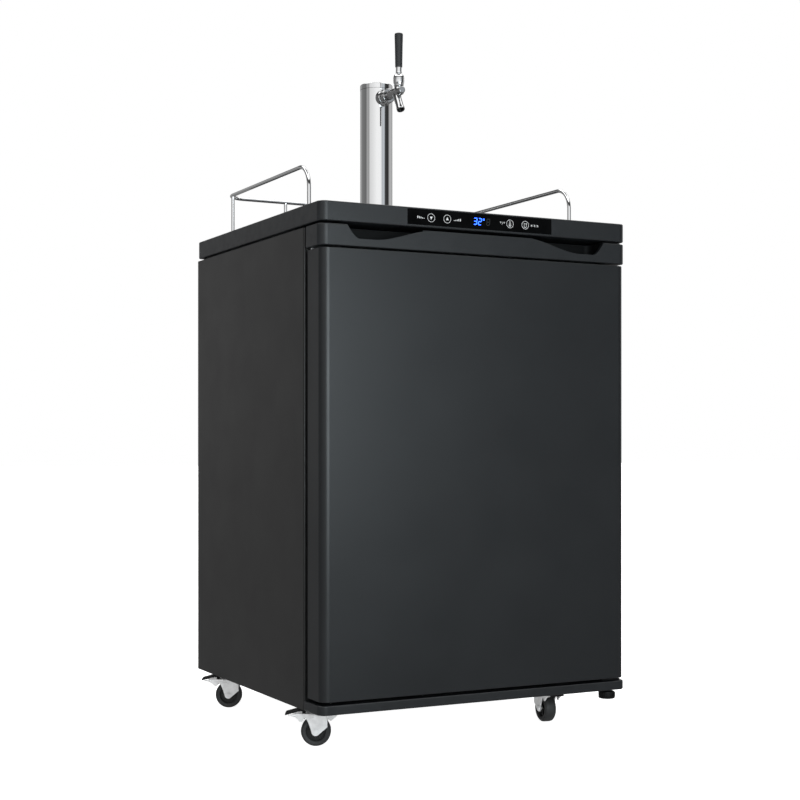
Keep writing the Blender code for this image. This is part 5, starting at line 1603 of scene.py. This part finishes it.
def co2_regulator():
    """Brass regulator: inlet nut, body, bonnet with an adjusting screw, two gauges and a barb."""
    x, y, z = BOTTLE_X, GAUGE_Y, VALVE_Z
    profile = [(0, -70), (5, -70), (6, -69), (6, -58), (12, -56.5), (13, -55), (13, -38), (15.8, -37),
               (17, -35), (17, -15), (15.5, -13), (8, -12), (8, -9), (0, -9)]
    bm = lathe(profile, "Y", (x, 0, z), 56, REGULATOR_REAR, 0.7)
    added(bm, hexagon(11.0, (0, 9.5), 1.0), facing((0, 1, 0), (x, REGULATOR_REAR - 10, z)))
    rod("Z", (x, y), 4, (z + 10, z + 27), 24, into=bm)
    added(bm, hexagon(6.4, (z + 18, z + 25), 0.6), Matrix.Translation((x, y, 0)))
    barb = [(0, 455.2), (3.6, 455.2), (5.0, 459), (4.0, 459.2), (5.0, 463), (4.2, 463.2), (4.2, 468),
            (5.0, 468.5), (5.0, z - 8), (0, z - 8)]
    lathe(barb, "Z", (x, BARB_Y, 0), 32, into=bm)
    piece("regulator_body", bm, "brass", nodes=["co2_regulator"])
    gauge("high_gauge", (x, y, z + 44), 19.0, -150)
    gauge("low_gauge", (x - 33, y, z), 17.0, -110)


def coupler():
    """Chrome keg coupler: flanged foot, hose tails, hexagon nut and lever pins."""
    x, y = COUPLER_X, COUPLER_Y
    body = [(0, 0), (26, 0), (27, 1), (27, 8), (25, 9.5), (21.5, 12), (20, 16), (19.4, 40), (19.0, 58),
            (17, 64), (9.5, 67.5), (8.6, 70)]
    tail = [(8.0, 203), (7.0, 206), (5.4, 206.5), (6, 210), (5.2, 210.2), (5.2, 213), (4.6, 214.8),
            (0, 214.8)]
    bm = lathe(raised(body, COUPLER.low.z) + tail, "Z", (x, y, 0), 64, soft=1.0)
    inlet = [(0, 10), (6, 10), (6, 28), (5, 29), (5.2, 34), (4.6, 37.6), (0, 37.6)]
    lathe(inlet, "Y", (x, 0, INLET_Z), 32, y, into=bm)
    added(bm, hexagon(8.6, (196.0, 203.0), 0.7), Matrix.Translation((x, y, 0)))
    hinge = pivot_of("coupler_lever_hinge")[0]
    pins = [(0, -25), (2.6, -25), (3, -24.4), (3, 24.4), (2.6, 25), (0, 25)]
    lathe(pins, "X", (0, hinge.y, hinge.z), 24, x, into=bm)
    piece("coupler_turned", bm, "chrome", nodes=["coupler_body"])


def coupler_lever():
    """Fork-ended lever with a ribbed grip, drawn along +Y and tipped up."""
    hinge = pivot_of("coupler_lever_hinge")[0]
    fork_in, fork_out = 22.1, 24.4
    cheek = arc((0, 0), 6.0, 90, 270, 12) + [(38, -6), (40, -4), (40, 4), (38, 6)]
    bm = bmesh.new()
    for side in SIDES:
        prism(cheek, "X", on_side(side, fork_in, fork_out), 0.5, 2, into=bm)
    block((-fork_out, fork_out), (32.2, 40.0), (-6.0, 6.0), 1.2, 3, into=bm)
    block((-8.8, 8.8), (37.0, 97.8), (-4.8, 4.8), 3.2, 4, into=bm)
    for index in range(5):
        rib = 60 + 7.0 * index
        block((-7.0, 7.0), (rib, rib + 3), (3.8, 4.95), 0.4, into=bm)
    moved(bm, turned(130, "X", (COUPLER_X, hinge.y, hinge.z)))
    piece("coupler_grip", bm, "black", "coupler_handle", ["coupler_lever"])


def clamp(bm, position, direction):
    """A stepless hose clamp: a steel band with its crimped ear."""
    inner, outer, half = 5.1, 5.6, 3.0
    band = lathe(rectangle((inner, outer), (-half, half)), "Z", (0, 0, 0), 32, loop=True)
    block((outer - 0.2, outer + 2.2), (-1.8, 1.8), (-half, half), 0.6, into=band)
    added(bm, band, facing(direction, position))


def hoses():
    """Clear beer line, clamped at the coupler, and red gas line, clamped at both ends."""
    bend, x, y = 16.0, COUPLER_X, COUPLER_Y
    start = SHANK.high.y + GAP
    drop = start + 3.7 + bend
    path = [(0, start, SHANK_Z)]
    path += [(0, v, w) for v, w in arc((drop - bend, SHANK_Z - bend), bend, 90, 0, 8)]
    path += curve([(0, drop, 1100), (0, drop, 860), (-8, 92, 785), (-80, 30, 756), (-160, -50, 750),
                   (-203, -88, 705), (x, y, 620), (x, y, 380), (x, y, 215.5)])
    piece("beer_tubing", tube(path, HOSE_RADIUS, 20), "beer_hose", nodes=["beer_line"])
    path = curve([(BOTTLE_X, BARB_Y, 454.5), (BOTTLE_X, BARB_Y, 400), (BOTTLE_X - 6, 20, 300),
                  (BOTTLE_X - 4, 0, 215), (x - 1, -12, 172), (x, -36, INLET_Z), (x, -56.5, INLET_Z)])
    piece("gas_tubing", tube(path, HOSE_RADIUS, 20), "gas_hose", nodes=["gas_line"])
    bands = bmesh.new()
    clamp(bands, (x, y, 221), (0, 0, 1))
    clamp(bands, (BOTTLE_X, BARB_Y, 448), (0, 0, 1))
    clamp(bands, (x, -51, INLET_Z), (0, 1, 0))
    piece("hose_clamps", bands, "zinc")


# Studio. Places are in metres.

CAMERA_PLACE = (-1.3051, -2.5564, 0.5132)
CAMERA_YAW = -27.18
CAMERA_LENS = 67.24
CAMERA_SHIFT = 0.0544
# Room walls by angle from the camera's own direction, positive to its right: (degrees, colour)
WALLS = [
    (-179, grey(0.30)), (-150, grey(0.30)), (-136, grey(0.40)), (-127, grey(0.24)), (-115, grey(0.19)),
    (-76, grey(0.15)), (-70, grey(0.38)), (-52, grey(0.33)), (-47, grey(0.70)), (-20, grey(0.82)),
    (5, grey(0.95)), (31, grey(0.95)), (39, grey(0.70, 0.05)), (45, grey(0.45, 0.10)),
    (54, grey(0.55, 0.12)), (61, grey(0.42, 0.12)), (66, grey(0.05)), (94, grey(0.025)),
    (101, grey(0.2)), (112, grey(0.5)), (179, grey(0.3)),
]
# Room above the walls, by the sine of the elevation looked at: (sine, colour)
CEILING = [(0.62, grey(0.06)), (0.74, grey(2.2)), (0.88, grey(2.2)), (0.94, grey(0.05))]
# Sines between which the walls give way to the ceiling, and the ground to the walls
WALL_TOP = (0.34, 0.42)
HORIZON = (-0.05, 0.02)
UNDERFOOT = 0.21
WHITE = (1.0, 1.0, 1.0)
# Light the floor gives off: to the object, and as seen by eye
FLOOR_GLOW = 0.7
FLOOR_SEEN = 0.92
KEY_PLACE = (-0.2, -2.3, 0.74)
KEY_TARGET = (-0.2, 0, 0.6)
KEY_SIZE = (1.3, 0.92)
KEY_POWER = 19.5
KEY_COLOUR = (0.84, 0.95, 1.0)


def staged(name, data):
    """A new object in the scene."""
    obj = bpy.data.objects.new(name, data)
    bpy.context.scene.collection.objects.link(obj)
    return obj


def camera():
    """A level camera to the left of the door, with its lens shifted up."""
    data = bpy.data.cameras.new("camera")
    data.lens = CAMERA_LENS
    data.sensor_width = 36.0
    data.shift_y = CAMERA_SHIFT
    data.clip_start = 0.05
    obj = staged("camera", data)
    obj.location = CAMERA_PLACE
    obj.rotation_euler = (radians(90), 0, radians(CAMERA_YAW))
    bpy.context.scene.camera = obj


def key_light():
    """A wide soft lamp in front of the door."""
    data = bpy.data.lights.new("key", "AREA")
    data.shape = "RECTANGLE"
    data.size, data.size_y = KEY_SIZE
    data.energy = KEY_POWER
    data.color = KEY_COLOUR
    obj = staged("key", data)
    obj.location = KEY_PLACE
    aim = Vector(KEY_TARGET) - Vector(KEY_PLACE)
    obj.rotation_euler = aim.to_track_quat("-Z", "Y").to_euler()


def studio_world():
    """A white room: bright overhead, with darker walls that chrome can mirror. The camera sees white."""
    world = bpy.data.worlds.new("studio")
    world.use_nodes = True
    bpy.context.scene.world = world
    room = Nodes(world.node_tree)
    view = room.node("ShaderNodeTexCoord").outputs["Generated"]
    turn = room.node("ShaderNodeMapping", vector_type="VECTOR")
    turn.inputs["Rotation"].default_value = (0, 0, radians(90 - CAMERA_YAW))
    room.link(view, turn.inputs["Vector"])
    around = room.node("ShaderNodeTexGradient", gradient_type="RADIAL")
    room.link(turn.outputs["Vector"], around.inputs["Vector"])
    walls = room.ramp(around.outputs["Fac"], *[(angle / 360 + 0.5, colour) for angle, colour in WALLS])
    split = room.node("ShaderNodeSeparateXYZ")
    room.link(view, split.inputs["Vector"])
    height = split.outputs["Z"]
    above = room.mix(room.spread(height, *WALL_TOP), walls, room.ramp(height, *CEILING))
    whole = room.mix(room.spread(height, *HORIZON), grey(UNDERFOOT), above)
    to_camera = room.node("ShaderNodeLightPath").outputs["Is Camera Ray"]
    room.link(room.mix(to_camera, whole, WHITE), room.tree.nodes["Background"].inputs["Color"])


def floor():
    """A pale floor that nearly whites out its own shadows; mirrors see the room below it instead."""
    bm = bmesh.new()
    bmesh.ops.create_grid(bm, x_segments=1, y_segments=1, size=30.0)
    mesh = bpy.data.meshes.new("studio_floor")
    bm.to_mesh(mesh)
    bm.free()
    finish = Finish("pale_floor", None, grey(0.93), 0.9)
    finish.tint(finish.noise(3.0, 2.0), grey(0.92), grey(0.94))
    finish.shader.inputs["Emission Color"].default_value = (*WHITE, 1.0)
    to_camera = finish.node("ShaderNodeLightPath").outputs["Is Camera Ray"]
    glow = finish.spread(to_camera, 0.0, 1.0, FLOOR_GLOW, FLOOR_SEEN)
    finish.link(glow, finish.shader.inputs["Emission Strength"])
    mesh.materials.append(finish.material)
    obj = staged("studio_floor", mesh)
    obj.visible_glossy = False


def main():
    side_panels()
    worktop()
    plinth()
    back()
    base()
    hinge_screws()
    fascia_strip()
    fascia_icons()
    display()
    door_panel()
    handle_trim()
    inner_panel()
    door_seal()
    tower_flange()
    tower_column()
    tower_cap()
    shank()
    shank_flange()
    coupling_nut()
    faucet_body()
    bonnet()
    lever()
    valve_shaft()
    guard_rail()
    drip_tray()
    drip_grate()
    casters()
    levelling_foot()
    inner_liner()
    evaporator()
    fan()
    keg_mat()
    rear_cover()
    condenser()
    compressor()
    co2_cylinder()
    valve_knob()
    co2_regulator()
    coupler()
    coupler_lever()
    hoses()
    camera()
    studio_world()
    floor()
    key_light()


main()
bpy.context.scene.view_settings.view_transform = "Standard"
